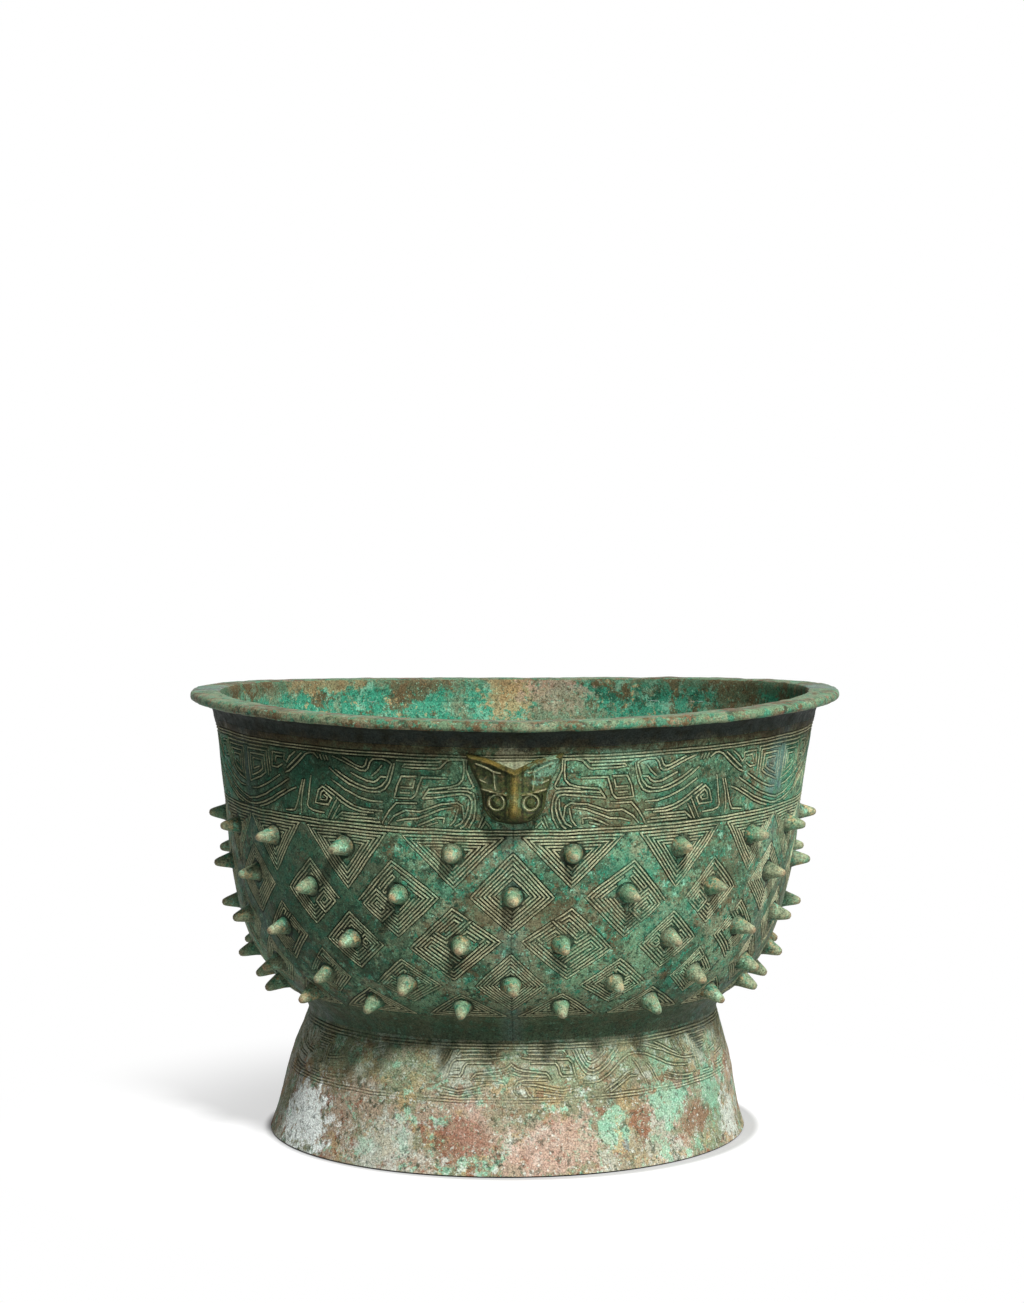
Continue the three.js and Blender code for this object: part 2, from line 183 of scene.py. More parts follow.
# Half of a mask's outline from the notch between the ears to the chin, as shares of half its size
MASK_OUTLINE = [
    (0, 0.55), (0.14, 0.62), (0.28, 0.7), (0.44, 0.8), (0.62, 0.89), (0.82, 0.96), (1, 1), (0.96, 0.84),
    (0.91, 0.66), (0.85, 0.46), (0.77, 0.24), (0.7, 0.02), (0.67, -0.16), (0.66, -0.36), (0.63, -0.56),
    (0.56, -0.73), (0.45, -0.86), (0.3, -0.95), (0.14, -0.99), (0, -1),
]
# How far a mask stands out down its middle, as (up, out)
MASK_PROFILE = [
    (-13, 2.2), (-12.2, 5.6), (-11, 7.6), (-9, 8.0), (-6, 6.9), (-3, 5.5), (0, 4.4), (4, 3.3), (8, 2.6),
    (13, 1.9),
]
# Lines on the right half of a mask, as (across, up) from its middle
EAR_RIM = [(0, 6.2), (3.0, 7.7), (7.5, 9.6), (12, 11.2), (16.2, 12.2)]
EAR_LINES = [
    [(13.4, 9.4), (10.1, 8.0), (7.2, 6.3), (4.8, 6.0)],
    [(7.2, 6.3), (6.9, 3.0), (6.6, 0.2)],
    [(10.0, 2.6), (12.0, 3.6)],
]
BROW = [(11.4, 0.2), (8.2, -0.6), (5.0, -1.2), (2.6, -1.5)]
CHEEK_LINES = [
    [(9.9, -2.0), (10.0, -5.2), (8.8, -8.0), (6.6, -10.4)],
    [(8.9, -6.6), (7.4, -8.6), (5.0, -10.2)],
]
# The lines again with how far they stand out, or are sunk where that is negative, and their half width
MASK_LINES = [([EAR_RIM], 1.7, 1.25), (EAR_LINES, 0.55, 0.38), (CHEEK_LINES, -0.6, 0.36), ([BROW], 0.8, 0.5)]
# Its muzzle and the hollow of its ear: place, half width and half height, and how far they stand out
MASK_SWELLINGS = [((0, -7.4), (3.3, 3.0), 2.0), ((9.0, 4.6), (4.8, 3.4), -1.5)]
EYE_PLACE = (6.0, -4.4)
EYE_HALF_SIZE = (2.5, 2.7)
EYE_TILT = math.radians(18)

# Unrolled lengths are measured round the wall at these radii
NECK_RADIUS = 118
BELLY_RADIUS = 110
FOOT_RADIUS = 92

# Sizes of the patina's patterns. Its grains are 0.1 to 0.3 across and are drawn at 0.6, which still shows
GRAIN = 0.6
PITS = 3.2
CRUST_ISLANDS = 5
RUBBED_CLOUDS = 7
RAGGED_CLOUDS = 8
RAGGED_REACH = 18

# A long lens a little above the rim, fitted to the outlines of the rim and the foot
CAMERA_PLACE = (-0.04 * MM, -1118.4 * MM, 250.6 * MM)
CAMERA_TILT = math.radians(3.032)
CAMERA_ROLL = math.radians(-0.126)
SENSOR = 36
PICTURE_HEIGHT = 1303
FOCAL_PIXELS = 2778
LENS = FOCAL_PIXELS / PICTURE_HEIGHT * SENSOR
CLIP_METRES = (0.05, 30)

# Lamps: name, place and width in metres, and watts. They aim at a height in millimetres on the axis
LAMPS = [("key", (0.43, -1.26, 1.45), 0.28, 48), ("side", (1.5, -0.8, 1.0), 0.8, 15)]
LAMP_AIM = 100
ROOM_LIGHT = 0.1

# The white floor: its glow fades in just outside the foot, so that a thin dark line of painted contact
# shadow stays round it, and further out the floor turns plain white
STAGE_METRES = 16
STAGE_GREY = 0.5
STAGE_GLOW = 0.62
PAINTED_CONTACT_SHADOW = (97, 102)
PLAIN_WHITE = (90, 220)


def curve_through(stations, values, at):
    """Values of a smooth curve through the given stations."""
    stations = np.asarray(stations, float)
    values = np.asarray(values, float)
    steps = np.diff(stations)
    slopes = np.diff(values) / steps
    tangents = np.concatenate([slopes[:1], (slopes[:-1] + slopes[1:]) / 2, slopes[-1:]])
    index = np.clip(np.searchsorted(stations, at, side="right") - 1, 0, len(steps) - 1)
    step = steps[index]
    t = (at - stations[index]) / step
    return (
        (2 * t**3 - 3 * t**2 + 1) * values[index]
        + (t**3 - 2 * t**2 + t) * step * tangents[index]
        + (3 * t**2 - 2 * t**3) * values[index + 1]
        + (t**3 - t**2) * step * tangents[index + 1]
    )


def linear(code):
    """An sRGB hex colour as linear red, green and blue, with an alpha of 1."""
    parts = [int(code[i:i + 2], 16) / 255 for i in (1, 3, 5)]
    return [part / 12.92 if part <= 0.04045 else ((part + 0.055) / 1.055) ** 2.4 for part in parts] + [1.0]


def colour_property(label, code, description):
    return bpy.props.FloatVectorProperty(
        name=label, description=description, subtype="COLOR", size=4, min=0, max=1, default=linear(code)
    )


def length_property(label, value, low, high, description):
    return bpy.props.FloatProperty(
        name=label, description=description, unit="LENGTH", precision=5,
        default=value * MM, min=low * MM, max=high * MM,
    )


class VesselColours(bpy.types.PropertyGroup):
    """Colours of the patina and of the bare metal."""

    field: colour_property("Field", "#648465", "Grey-green carbonate patina of the plain wall")
    # Laid broad on the left side and towards the waist, this dark green is partly patina and partly painted
    # shade
    deep: colour_property("Deep green", "#22392a", "Dark green patina of the damp and shaded places")
    teal: colour_property("Teal", "#2b7c62", "Blue-green carbonate in patches and specks")
    mint: colour_property("Mint", "#86bda0", "Powdery malachite")
    malachite: colour_property("Malachite", "#428b70", "Bright malachite inside the bowl")
    # Laid as bands under the lip and towards the waist, this brown is partly patina and partly painted shade
    brown: colour_property("Brown", "#5a4a32", "Cuprite showing through the green")
    # On the cast lines' crests this pale is partly rubbed patina and partly painted highlight
    cream: colour_property("Worn ridge", "#b4b28e", "Rubbed crests of the cast lines")
    # This near-black is partly dirt in the grooves and partly painted shade: in the grooves, under the lip,
    # at the bosses' roots, in the masks' hollows, under their chins and on their left halves, and on the sole
    groove: colour_property("Groove", "#14190f", "Dirt and dark oxide in the grooves")
    slate: colour_property("Slate", "#6d7f80", "Blue-grey bloom beside the mould seams")
    olive: colour_property("Olive", "#7f8065", "Olive-grey patina of the foot")
    crust: colour_property("Crust", "#c0c7bb", "White-grey crust of lime and tin oxide")
    frost: colour_property("Frost", "#e6ede8", "White lead carbonate on the most crusted places")
    rose: colour_property("Rose", "#b39585", "Pinkish bronze rich in tin")
    rust: colour_property("Red-brown", "#80503b", "Red copper oxide")
    tan: colour_property("Tan", "#ab9166", "Sandy crust from the soil")
    moss: colour_property("Moss", "#3c4426", "Dark olive patina of the masks")
    gold: colour_property("Rubbed bronze", "#75622f", "Golden-brown metal where the mask is rubbed")


class VesselSizes(bpy.types.PropertyGroup):
    """Sizes of the cast ornament and of the casting's unevenness."""

    line_depth: length_property("Line depth", 0.52, 0.1, 1.5, "Depth of the lines on the neck and the belly")
    foot_line_depth: length_property("Foot line depth", 0.5, 0.1, 1.5, "Depth of the worn lines on the foot")
    boss_length: length_property("Boss length", 7.5, 3, 12, "How far a boss stands out from the wall")
    boss_width: length_property("Boss width", 6.9, 4, 12, "Width of a boss where it meets the wall")
    mask_reach: length_property("Mask reach", MASK_REACH, 3, 12, "How far a mask's muzzle stands out")
    unevenness: length_property("Unevenness", 0.28, 0, 1, "How far the hand-made surfaces wander from true")


def sizes():
    return bpy.context.scene.gui_vessel_sizes


def tint(name):
    return tuple(getattr(bpy.context.scene.gui_vessel_colours, name))


FACE_RADII = np.array([radius for radius, height in OUTER_FACE], float)
FACE_HEIGHTS = np.array([height for radius, height in OUTER_FACE], float)
FACE_LENGTHS = np.concatenate([[0], np.cumsum(np.hypot(np.diff(FACE_RADII), np.diff(FACE_HEIGHTS)))])


def face_at(length):
    """Radius, height and outward normal (out, up) of the outer face, at a length up from the foot's edge."""
    length = np.asarray(length, float)
    radius = curve_through(FACE_LENGTHS, FACE_RADII, length)
    height = curve_through(FACE_LENGTHS, FACE_HEIGHTS, length)
    probe = 0.2
    run = curve_through(FACE_LENGTHS, FACE_RADII, length + probe) - radius
    rise = curve_through(FACE_LENGTHS, FACE_HEIGHTS, length + probe) - height
    size = np.hypot(run, rise)
    return radius, height, rise / size, -run / size


def smooth_step(t):
    t = np.clip(t, 0, 1)
    return t * t * (3 - 2 * t)


def settle(radius, height, angle):
    """Places of points in metres, with the casting's drift, saddle and hand-made unevenness."""
    radius, height, angle = np.broadcast_arrays(radius, height, angle)
    drift = np.interp(height, *zip(*AXIS_DRIFT))
    lift = -SADDLE * np.cos(2 * angle) * smooth_step((height - SADDLE_START) / SADDLE_RISE)
    places = np.stack([radius * np.sin(angle) + drift, -radius * np.cos(angle), height + lift], -1)
    free = smooth_step(height / LEVEL_HEIGHT)[..., None]
    noise.seed_set(UNEVENNESS_SEED)
    wobble = np.array([
        noise.noise_vector(Vector(place / HAND_WAVE))
        + TREMOR_SHARE * noise.noise_vector(Vector(place / TREMOR_WAVE))
        for place in places.reshape(-1, 3)
    ])
    return places * MM + sizes().unevenness * free * wobble.reshape(places.shape)


def depth_left(radius, height, angle, wear):
    """How much of the cast lines' depth is left: it fades in clouds to 1 less the wear."""
    places = np.stack([radius * np.sin(angle), -radius * np.cos(angle), height], -1) / WEAR_WAVE
    clouds = np.array([noise.noise(Vector(place)) for place in places])
    return np.clip(1 - wear * (WEAR_MIDDLE - WEAR_CONTRAST * clouds), 1 - wear, 1)


def clip_lines(lines, low, high):
    """The parts of polylines that lie inside a box of the unrolled wall."""
    kept = []
    for line in lines:
        run = []
        for start, end in zip(line[:-1], line[1:]):
            start, end = np.array(start, float), np.array(end, float)
            first, last = 0.0, 1.0
            for axis in (0, 1):
                move = end[axis] - start[axis]
                if abs(move) < 1e-9:
                    if not low[axis] <= start[axis] <= high[axis]:
                        last = -1
                    continue
                near, far = sorted(((low[axis] - start[axis]) / move, (high[axis] - start[axis]) / move))
                first, last = max(first, near), min(last, far)
            if last - first < 1e-6:
                if len(run) > 1:
                    kept.append(run)
                run = []
                continue
            inner_start, inner_end = start + first * (end - start), start + last * (end - start)
            if not run or first > 0:
                if len(run) > 1:
                    kept.append(run)
                run = [inner_start]
            run.append(inner_end)
            if last < 1:
                kept.append(run)
                run = []
        if len(run) > 1:
            kept.append(run)
    return kept


def cut_round(lines, spots, radius):
    """The parts of polylines that keep clear of round spots."""
    step = 0.5
    kept = []
    for line in lines:
        fine = refine(line, step)
        clear = [all(np.hypot(*(point - spot)) > radius for spot in spots) for point in fine]
        if all(clear):
            kept.append(line)
            continue
        run = []
        for point, free in zip(fine, clear):
            if free:
                run.append(point)
                continue
            if len(run) > 3:
                kept.append(thin_out(run))
            run = []
        if len(run) > 3:
            kept.append(thin_out(run))
    return kept


def refine(line, longest):
    """A polyline with points added so that no step is longer than the given length."""
    points = [np.array(line[0], float)]
    for start, end in zip(line[:-1], line[1:]):
        start, end = np.array(start, float), np.array(end, float)
        count = max(1, math.ceil(np.hypot(*(end - start)) / longest - 1e-6))
        points += [start + (end - start) * i / count for i in range(1, count + 1)]
    return points


def thin_out(line):
    """A polyline without the points that lie on a straight run."""
    kept = [line[0]]
    for before, point, after in zip(line[:-2], line[1:-1], line[2:]):
        turn = np.cross(point - before, after - point)
        if abs(turn) > 0.01:
            kept.append(point)
    return kept + [line[-1]]


def outline_of(line, distance):
    """The closed outline at a distance round a polyline, with square ends."""
    line = np.array(line)
    steps = np.diff(line, axis=0)
    steps /= np.maximum(np.hypot(steps[:, 0], steps[:, 1]), 1e-9)[:, None]
    sides = np.stack([-steps[:, 1], steps[:, 0]], -1)
    mitres = np.empty_like(line)
    mitres[0], mitres[-1] = sides[0], sides[-1]
    middle = sides[:-1] + sides[1:]
    reach = np.maximum((middle**2).sum(-1) / 2, MITRE_LIMIT)
    mitres[1:-1] = middle / reach[:, None]
    line[0] -= steps[0] * distance * END_SHARE
    line[-1] += steps[-1] * distance * END_SHARE
    left, right = line + mitres * distance, line - mitres * distance
    return np.concatenate([left, right[::-1]])


def distance_to_lines(points, lines):
    """Each point's distance to the nearest polyline. Past a short reach it is only known to be far."""
    far, reach, block = 99.0, 2.0, 400
    starts = np.concatenate([np.array(line[:-1], float) for line in lines])
    moves = np.concatenate([np.diff(np.array(line, float), axis=0) for line in lines])
    lengths = np.maximum((moves**2).sum(-1), 1e-12)
    ends = starts[:, 0] + moves[:, 0]
    leftmost, rightmost = np.minimum(starts[:, 0], ends), np.maximum(starts[:, 0], ends)
    nearest = np.full(len(points), far)
    order = np.argsort(points[:, 0])
    for begin in range(0, len(points), block):
        chosen = order[begin:begin + block]
        some = points[chosen]
        near = (leftmost < some[:, 0].max() + reach) & (rightmost > some[:, 0].min() - reach)
        if not near.any():
            continue
        gap = some[:, None] - starts[near][None]
        share = np.clip((gap * moves[near][None]).sum(-1) / lengths[near][None], 0, 1)
        gap -= share[..., None] * moves[near][None]
        nearest[chosen] = np.sqrt((gap**2).sum(-1)).min(1)
    return nearest


def ridge_height(distance, depth):
    """Height of the cast surface at a distance from a ridge's middle."""
    stations = [0, RIDGE_TOP, RIDGE_FOOT, GROOVE_FLOOR, GROOVE_END]
    return np.interp(distance, stations, [0, 0, -depth, -depth, 0])


def lines_over_seams(lines, width, low, high):
    """A sector's lines together with their mirror images past its two seams, cut off just past its border."""
    mirrored = [[(-x, y) for x, y in line] for line in lines]
    beyond = [[(2 * width - x, y) for x, y in line] for line in lines]
    corners = (-OVERLAP, low - OVERLAP), (width + OVERLAP, high + OVERLAP)
    lines = [refine(line, LINE_SPACING) for line in clip_lines(lines + mirrored + beyond, *corners)]
    return [line for line in lines if np.hypot(*(line[0] - line[-1])) > SHORTEST_LINE or len(line) > 2]


def sector_border(width, low, high, spacing):
    """Points and edges of a sector's border: its lower and its upper rim, and its two seams."""
    last = COLUMNS_PER_SECTOR
    columns = np.linspace(0, width, last + 1)
    points = [(x, low) for x in columns] + [(x, high) for x in columns]
    edges = [(i, i + 1) for i in range(last)] + [(i + last + 1, i + last + 2) for i in range(last)]
    rungs = np.arange(low + spacing, high - spacing / 2, spacing)
    for x, lower, upper in ((0, 0, last + 1), (width, last, 2 * last + 1)):
        seam = [lower, *range(len(points), len(points) + len(rungs)), upper]
        points += [(x, y) for y in rungs]
        edges += list(zip(seam[:-1], seam[1:]))
    return points, edges


def add_line_edges(points, edges, lines):
    """Adds the outlines of the lines at each step of their section, except inside another line."""
    for distance in (RIDGE_TOP, RIDGE_FOOT, GROOVE_FLOOR, GROOVE_END):
        outlines = [outline_of(line, distance) for line in lines]
        gaps = distance_to_lines(np.concatenate(outlines), lines)
        offset = 0
        for outline in outlines:
            count = len(outline)
            own = gaps[offset:offset + count] > distance - OUTLINE_SLACK
            offset += count
            used = own | np.roll(own, 1) | np.roll(own, -1)
            numbers = {}
            for i in range(count):
                if used[i]:
                    numbers[i] = len(points)
                    points.append(tuple(outline[i]))
            for i in range(count):
                j = (i + 1) % count
                if own[i] or own[j]:
                    edges.append((numbers[i], numbers[j]))


def add_rings(points, edges, spots):
    """Adds the edges of the sunk ring round each boss."""
    for spot in spots:
        for radius in (BOSS_RING_FLOOR, BOSS_RING_END):
            first = len(points)
            for side in range(BOSS_RING_SIDES):
                turn = 2 * math.pi * (side + 0.5) / BOSS_RING_SIDES
                points.append((spot[0] + radius * math.sin(turn), spot[1] + radius * math.cos(turn)))
                edges.append((first + side, first + (side + 1) % BOSS_RING_SIDES))


def points_between(lines, width, low, high, spacing):
    """Points spread over the plain wall between the lines."""
    grid = [
        (x, y)
        for x in np.arange(spacing / 2, width, spacing)
        for y in np.arange(low + spacing / 2, high - 1, spacing)
    ]
    gaps = distance_to_lines(np.array(grid), lines)
    return [point for point, gap in zip(grid, gaps) if gap > LINE_CLEARANCE]


def triangulate(points, edges):
    """Points and triangles of a flat surface that has the given points and keeps the given edges."""
    nearest = 1e-4
    flat = [Vector(point) for point in points]
    made, made_edges, faces, *rest = geometry.delaunay_2d_cdt(flat, edges, [], 0, nearest, False)
    return np.array([tuple(point) for point in made]), np.array([face for face in faces if len(face) == 3])


def keep_sector(places, triangles, width, low, high):
    """The triangles that lie in the sector, all facing out, and the points that they use."""
    x, y = places[triangles].mean(1).T
    triangles = triangles[(x > 0) & (x < width) & (y > low) & (y < high)]
    a, b, c = (places[triangles[:, i]] for i in range(3))
    area = np.cross(b - a, c - a)
    triangles[area < 0] = triangles[area < 0][:, ::-1]
    used = np.unique(triangles)
    numbers = np.full(len(places), -1)
    numbers[used] = np.arange(len(used))
    return places[used], numbers[triangles]


def engrave(lines, width, low, high, depth, spacing=WALL_SPACING, spots=()):
    """One sector of the unrolled wall, triangulated along its cast lines and the rings round its bosses.

    Gives points (across, up), triangles, heights and how much each point is a ridge."""
    lines = lines_over_seams(lines, width, low, high)
    points, edges = sector_border(width, low, high, spacing)
    add_line_edges(points, edges, lines)
    add_rings(points, edges, spots)
    points += points_between(lines, width, low, high, spacing)
    places, triangles = keep_sector(*triangulate(points, edges), width, low, high)
    gaps = distance_to_lines(places, lines)
    heights = ridge_height(gaps, depth)
    for spot in spots:
        away = np.hypot(*(places - spot).T)
        heights = np.minimum(heights, np.interp(away, [BOSS_RING_FLOOR, BOSS_RING_END], [-depth, 0]))
    ridges = np.interp(gaps, [RIDGE_TOP, RIDGE_FOOT], [1, 0])
    return places, triangles, heights, ridges


def wrap_round(sector, radius, wear):
    """The sector carried six times round the wall, each time mirrored and worn in its own places."""
    places, triangles, heights, ridges = sector
    lift, ridge, seam, turns, vertices, faces = [], [], [], [], [], []
    face_radius, face_height, out, up = face_at(places[:, 1])
    across = places[:, 0] / radius
    width = radius * SECTOR_ANGLE
    for turn in range(SECTORS):
        mirrored = turn % 2 == 1
        angle = (turn + 1) * SECTOR_ANGLE - across if mirrored else turn * SECTOR_ANGLE + across
        left = depth_left(face_radius, face_height, angle, wear)
        worn = heights * left
        vertices.append(settle(face_radius + worn * out, face_height + worn * up, angle))
        corners = triangles[:, ::-1] if mirrored else triangles
        faces.append(corners + turn * len(places))
        lift.append(worn / heights.min())
        ridge.append(ridges * left)
        seam.append(np.minimum(places[:, 0], width - places[:, 0]))
        turns.append(angle)
    return [np.concatenate(some) for some in (vertices, faces, lift, ridge, seam, turns)]


def open_loop(made, upper):
    """The open edges of a turned wall, at its upper or its lower end."""
    edges = [edge for edge in made.edges if edge.is_boundary]
    heights = [edge.verts[0].co.z + edge.verts[1].co.z for edge in edges]
    middle = (min(heights) + max(heights)) / 2
    return [edge for edge, height in zip(edges, heights) if (height > middle) == upper]


def carry_on(made, loop, profile, number, to_axis=False):
    """Extrudes an open loop through the (radius, height) stations of a profile. Gives the last loop."""
    turn = made.verts.layers.float["turn"]
    fields = [made.verts.layers.float["groove"], made.verts.layers.float["ridge"]]
    for radius, height in profile:
        grown = bmesh.ops.extrude_edge_only(made, edges=loop)["geom"]
        verts = [item for item in grown if isinstance(item, bmesh.types.BMVert)]
        places = settle(float(radius), float(height), np.array([vert[turn] for vert in verts]))
        for vert, place in zip(verts, places):
            vert.co = place
            for field in fields:
                vert[field] = 0
        for face in (item for item in grown if isinstance(item, bmesh.types.BMFace)):
            face.material_index = number
        fresh = set(verts)
        loop = [item for item in grown if isinstance(item, bmesh.types.BMEdge) and set(item.verts) <= fresh]
    if to_axis:
        verts = list({vert for edge in loop for vert in edge.verts})
        bmesh.ops.pointmerge(made, verts=verts, merge_co=sum((v.co for v in verts), Vector()) / len(verts))
    return loop


def new_mesh(name, vertices, faces, **fields):
    """A mesh whose fields hold a value at each point, for its material to read."""
    mesh = bpy.data.meshes.new(name)
    mesh.from_pydata(vertices.tolist(), [], faces)
    for field, values in fields.items():
        mesh.attributes.new(field, "FLOAT", "POINT").data.foreach_set("value", values.astype(np.float32))
    return mesh


def add_piece(mesh):
    """Puts a mesh in the scene as a piece of the same name."""
    piece = bpy.data.objects.new(mesh.name, mesh)
    bpy.context.scene.collection.objects.link(piece)
    return piece


def start_wall(name, sector, radius, wear):
    """The engraved outer face of a turned wall, welded at the seams, as an editable mesh."""
    vertices, faces, groove, ridge, seam, turn = wrap_round(sector, radius, wear)
    mesh = new_mesh(name, vertices, faces.tolist(), groove=groove, ridge=ridge, seam=seam, turn=turn)
    made = bmesh.new()
    made.from_mesh(mesh)
    bmesh.ops.remove_doubles(made, verts=made.verts, dist=1e-6)
    return mesh, made


def face_outwards(mesh, made):
    """Points a closed mesh's faces out and writes it back."""
    bmesh.ops.recalc_face_normals(made, faces=made.faces)
    made.to_mesh(mesh)
    made.free()


def end_wall(mesh, made):
    """Writes a closed wall back to its mesh and puts it in the scene."""
    face_outwards(mesh, made)
    mesh.attributes.remove(mesh.attributes["turn"])
    return add_piece(mesh)


def finish_piece(piece, materials, angle, slot, *nodes):
    """Smooths a piece, gives it its finish and hangs it on the frame."""
    for material in materials:
        piece.data.materials.append(material)
    bpy.ops.object.select_all(action="DESELECT")
    piece.select_set(True)
    bpy.context.view_layer.objects.active = piece
    bpy.ops.object.shade_smooth_by_angle(angle=math.radians(angle))
    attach(piece, "root")
    if nodes:
        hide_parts(*nodes)
    return piece


# Cast ornament. All its points are (across, up) in millimetres on the unrolled wall, from one
# mould seam to the next.

# The neck's frieze: a one-legged dragon whose head is by the mask and whose tail meets the next seam
NECK_DRAGON = [
    # head, snout and the long jaw that turns down beside the mask
    [(18.2, 172.1), (22, 172.3), (24.6, 171.6), (26.2, 169.9), (27.4, 168.8), (29, 168.6), (41.6, 168.7),
     (40.4, 169.9), (28.2, 169.9)],
    [(26.4, 171.9), (27.2, 171.1), (43.6, 171.1)],
    [(31.4, 161.0), (23, 162.0), (20, 163.0), (18.4, 164.8), (18.1, 168.0), (18.2, 172.1)],
    [(17.2, 172.2), (17.2, 168.4), (15.9, 165.2), (14.6, 162.4), (15.4, 161.5), (19.6, 161.7), (24, 161.1)],
    [(34.0, 157.3), (32.4, 159.5), (20, 160.5), (16.6, 160.4), (14.9, 159.6), (14.2, 157.5), (14.0, 154.0),
     (14.6, 150.6), (16.4, 147.2)],
    [(34.0, 157.3), (28, 158.0), (22, 158.9), (18.5, 159.3), (16.4, 158.8), (15.4, 157.2), (15.3, 154.5),
     (16.2, 151.2), (17.8, 147.9), (19.4, 146.9)],
    [(16.6, 157.3), (16.7, 154.4), (17.6, 151.4), (19.2, 148.6), (21.6, 147.3)],
    [(31.4, 161.0), (34.0, 157.3)],
    [(24.5, 165.2), (34.2, 165.2), (35.4, 162.2), (36.5, 158.8), (38.2, 157.2), (45.3, 157.1), (43.6, 162.0),
     (41.9, 165.4), (36.2, 165.5)],
    [(36.9, 164.0), (37.6, 161.3), (42.2, 161.3)],
    [(39, 159.3), (42.6, 159.2)],
    # claws
    [(18.4, 150.6), (18.8, 154.8), (20.8, 156.1), (27, 155.3), (35, 152.4), (41, 152.7), (45.3, 150.3),
     (47.8, 147.3)],
    [(20.4, 154.0), (21.6, 149.8), (23.4, 147.6)],
    [(22.3, 154.3), (27, 153.4), (32, 151.3), (36, 149.8), (40.5, 149.5), (44.2, 148.4)],
    [(35.6, 147.3), (28.5, 150.3), (25.4, 150.3), (25.9, 148.4)],
    [(28.4, 148.5), (32.2, 147.3)],
    [(36.4, 155.4), (44.4, 155.3), (47.4, 152.2), (49.6, 148.8), (50.4, 147.3)],
    # neck, chest and crest
    [(44.6, 169.9), (45.6, 166.2), (46.8, 162.8), (48.7, 160.0), (51, 158.8), (55, 158.6), (59, 159.2),
     (64, 161.1), (69.2, 164.0), (72.4, 166.4)],
    [(45.6, 169.7), (46.8, 166.6), (48.0, 163.4), (50, 161.1), (52.5, 160.0), (56, 160.0), (60, 161.0),
     (65, 163.3), (69.6, 166.0)],
    [(45.6, 169.7), (47.1, 170.8), (49.2, 171.3), (53.0, 171.1), (54.4, 169.6), (55.2, 167.4), (56.4, 166.3),
     (58.6, 166.4), (62, 167.9), (66.2, 169.7), (70.4, 171.0)],
    [(55.4, 170.9), (56.3, 168.6), (57.4, 167.7), (59.6, 168.1), (63.2, 169.7), (66.0, 171.0)],
    [(48.4, 164.6), (50.3, 164.6), (51.5, 163.2), (53, 162.4), (56, 162.6), (59.6, 163.8), (62.6, 165.2)],
    [(49.6, 168.8), (51.6, 166.4), (53.6, 164.7)],
    [(50.2, 155.2), (55, 155.2), (60, 156.3), (66, 158.8), (71.8, 162.0)],
    [(50.4, 151.8), (57.8, 151.9), (62, 152.8), (66, 154.5), (70, 156.9), (74.8, 159.6)],
    [(54.0, 150.8), (59.5, 150.9), (64, 152.0), (68, 153.9), (70.3, 155.3)],
    [(57, 149.8), (67.8, 149.8), (71.2, 147.2)],
    [(53, 148.6), (68.2, 148.6)],
    [(51.6, 147.4), (69.0, 147.4)],
    [(68.8, 152.6), (72.6, 147.2)],
    [(70.3, 154.2), (74.6, 147.4)],
    # the body's spiral and the tail
    [(71.2, 155.9), (76.4, 158.9), (78.5, 157.4), (79.8, 154.2), (80.8, 152.2), (74.2, 152.1), (72.5, 154.7),
     (76.0, 157.5), (77.4, 156.4), (78.3, 153.8), (75.3, 153.6), (74.4, 154.9), (76.0, 155.7)],
    [(81.8, 162.4), (83, 157.6), (83.8, 154.4), (84.8, 151.3), (84.2, 150.0), (81.6, 149.3), (76.4, 149.0)],
    [(85.2, 160.6), (87, 156), (88.2, 151), (88.4, 147.4)],
    [(86.5, 160.4), (88.6, 155.2), (90.4, 151), (92.2, 148.4), (97.6, 147.8)],
    [(73.8, 170.9), (73.0, 169.3)],
    [(75.2, 170.9), (74.4, 169.2)],
    [(76.6, 170.9), (75.9, 169.3)],
    [(77.6, 169.7), (79.4, 171.1), (81.6, 171.2), (84, 170.3), (87.2, 167.8), (90.4, 165.4), (93.6, 163.3),
     (96, 162.5)],
    [(86.0, 170.6), (89.2, 168.3), (92.6, 165.9), (95.0, 164.3)],
    [(89.4, 170.8), (92.8, 168.6), (94.9, 166.2), (96.4, 167.3), (95.6, 169.5), (103.0, 169.6),
     (103.9, 164.0), (100.4, 163.9), (97.6, 165.3)],
    [(97.4, 168.1), (100.9, 168.2), (101.8, 166.0)],
    [(90.2, 157.2), (95.2, 155.3), (100.2, 152.8), (105, 150.4), (110.6, 148.4), (115.4, 147.3)],
    [(96.8, 155.9), (101.2, 153.8), (106, 151.5), (111.4, 149.5), (118.4, 147.9), (125, 147.4)],
    [(94.6, 160.1), (99.2, 157.7), (104.4, 155.3), (110, 152.6), (117.4, 150.4), (125, 149.4)],
    [(99.6, 161.2), (104.6, 158.7), (110.2, 156.2), (115.8, 154.3), (120.4, 153.9)],
    [(105.3, 162.0), (105.3, 170.9), (125, 170.9)],
    [(106.9, 160.3), (106.9, 169.4), (121.6, 169.4), (121.6, 156.2), (112.8, 159.2), (108.8, 161.2),
     (108.8, 167.6), (119.8, 167.6), (119.8, 158.6), (113.8, 160.8), (110.8, 162.4), (110.8, 165.8),
     (117.8, 165.8), (117.8, 161.4), (113.4, 163.0)],
    [(8.4, 147.2), (10.4, 149.6), (11.9, 147.2)],
    [(11.2, 151.2), (12.8, 147.4)],
]
NECK_BORDERS = [172.4, 173.6, 145.9, 144.7]

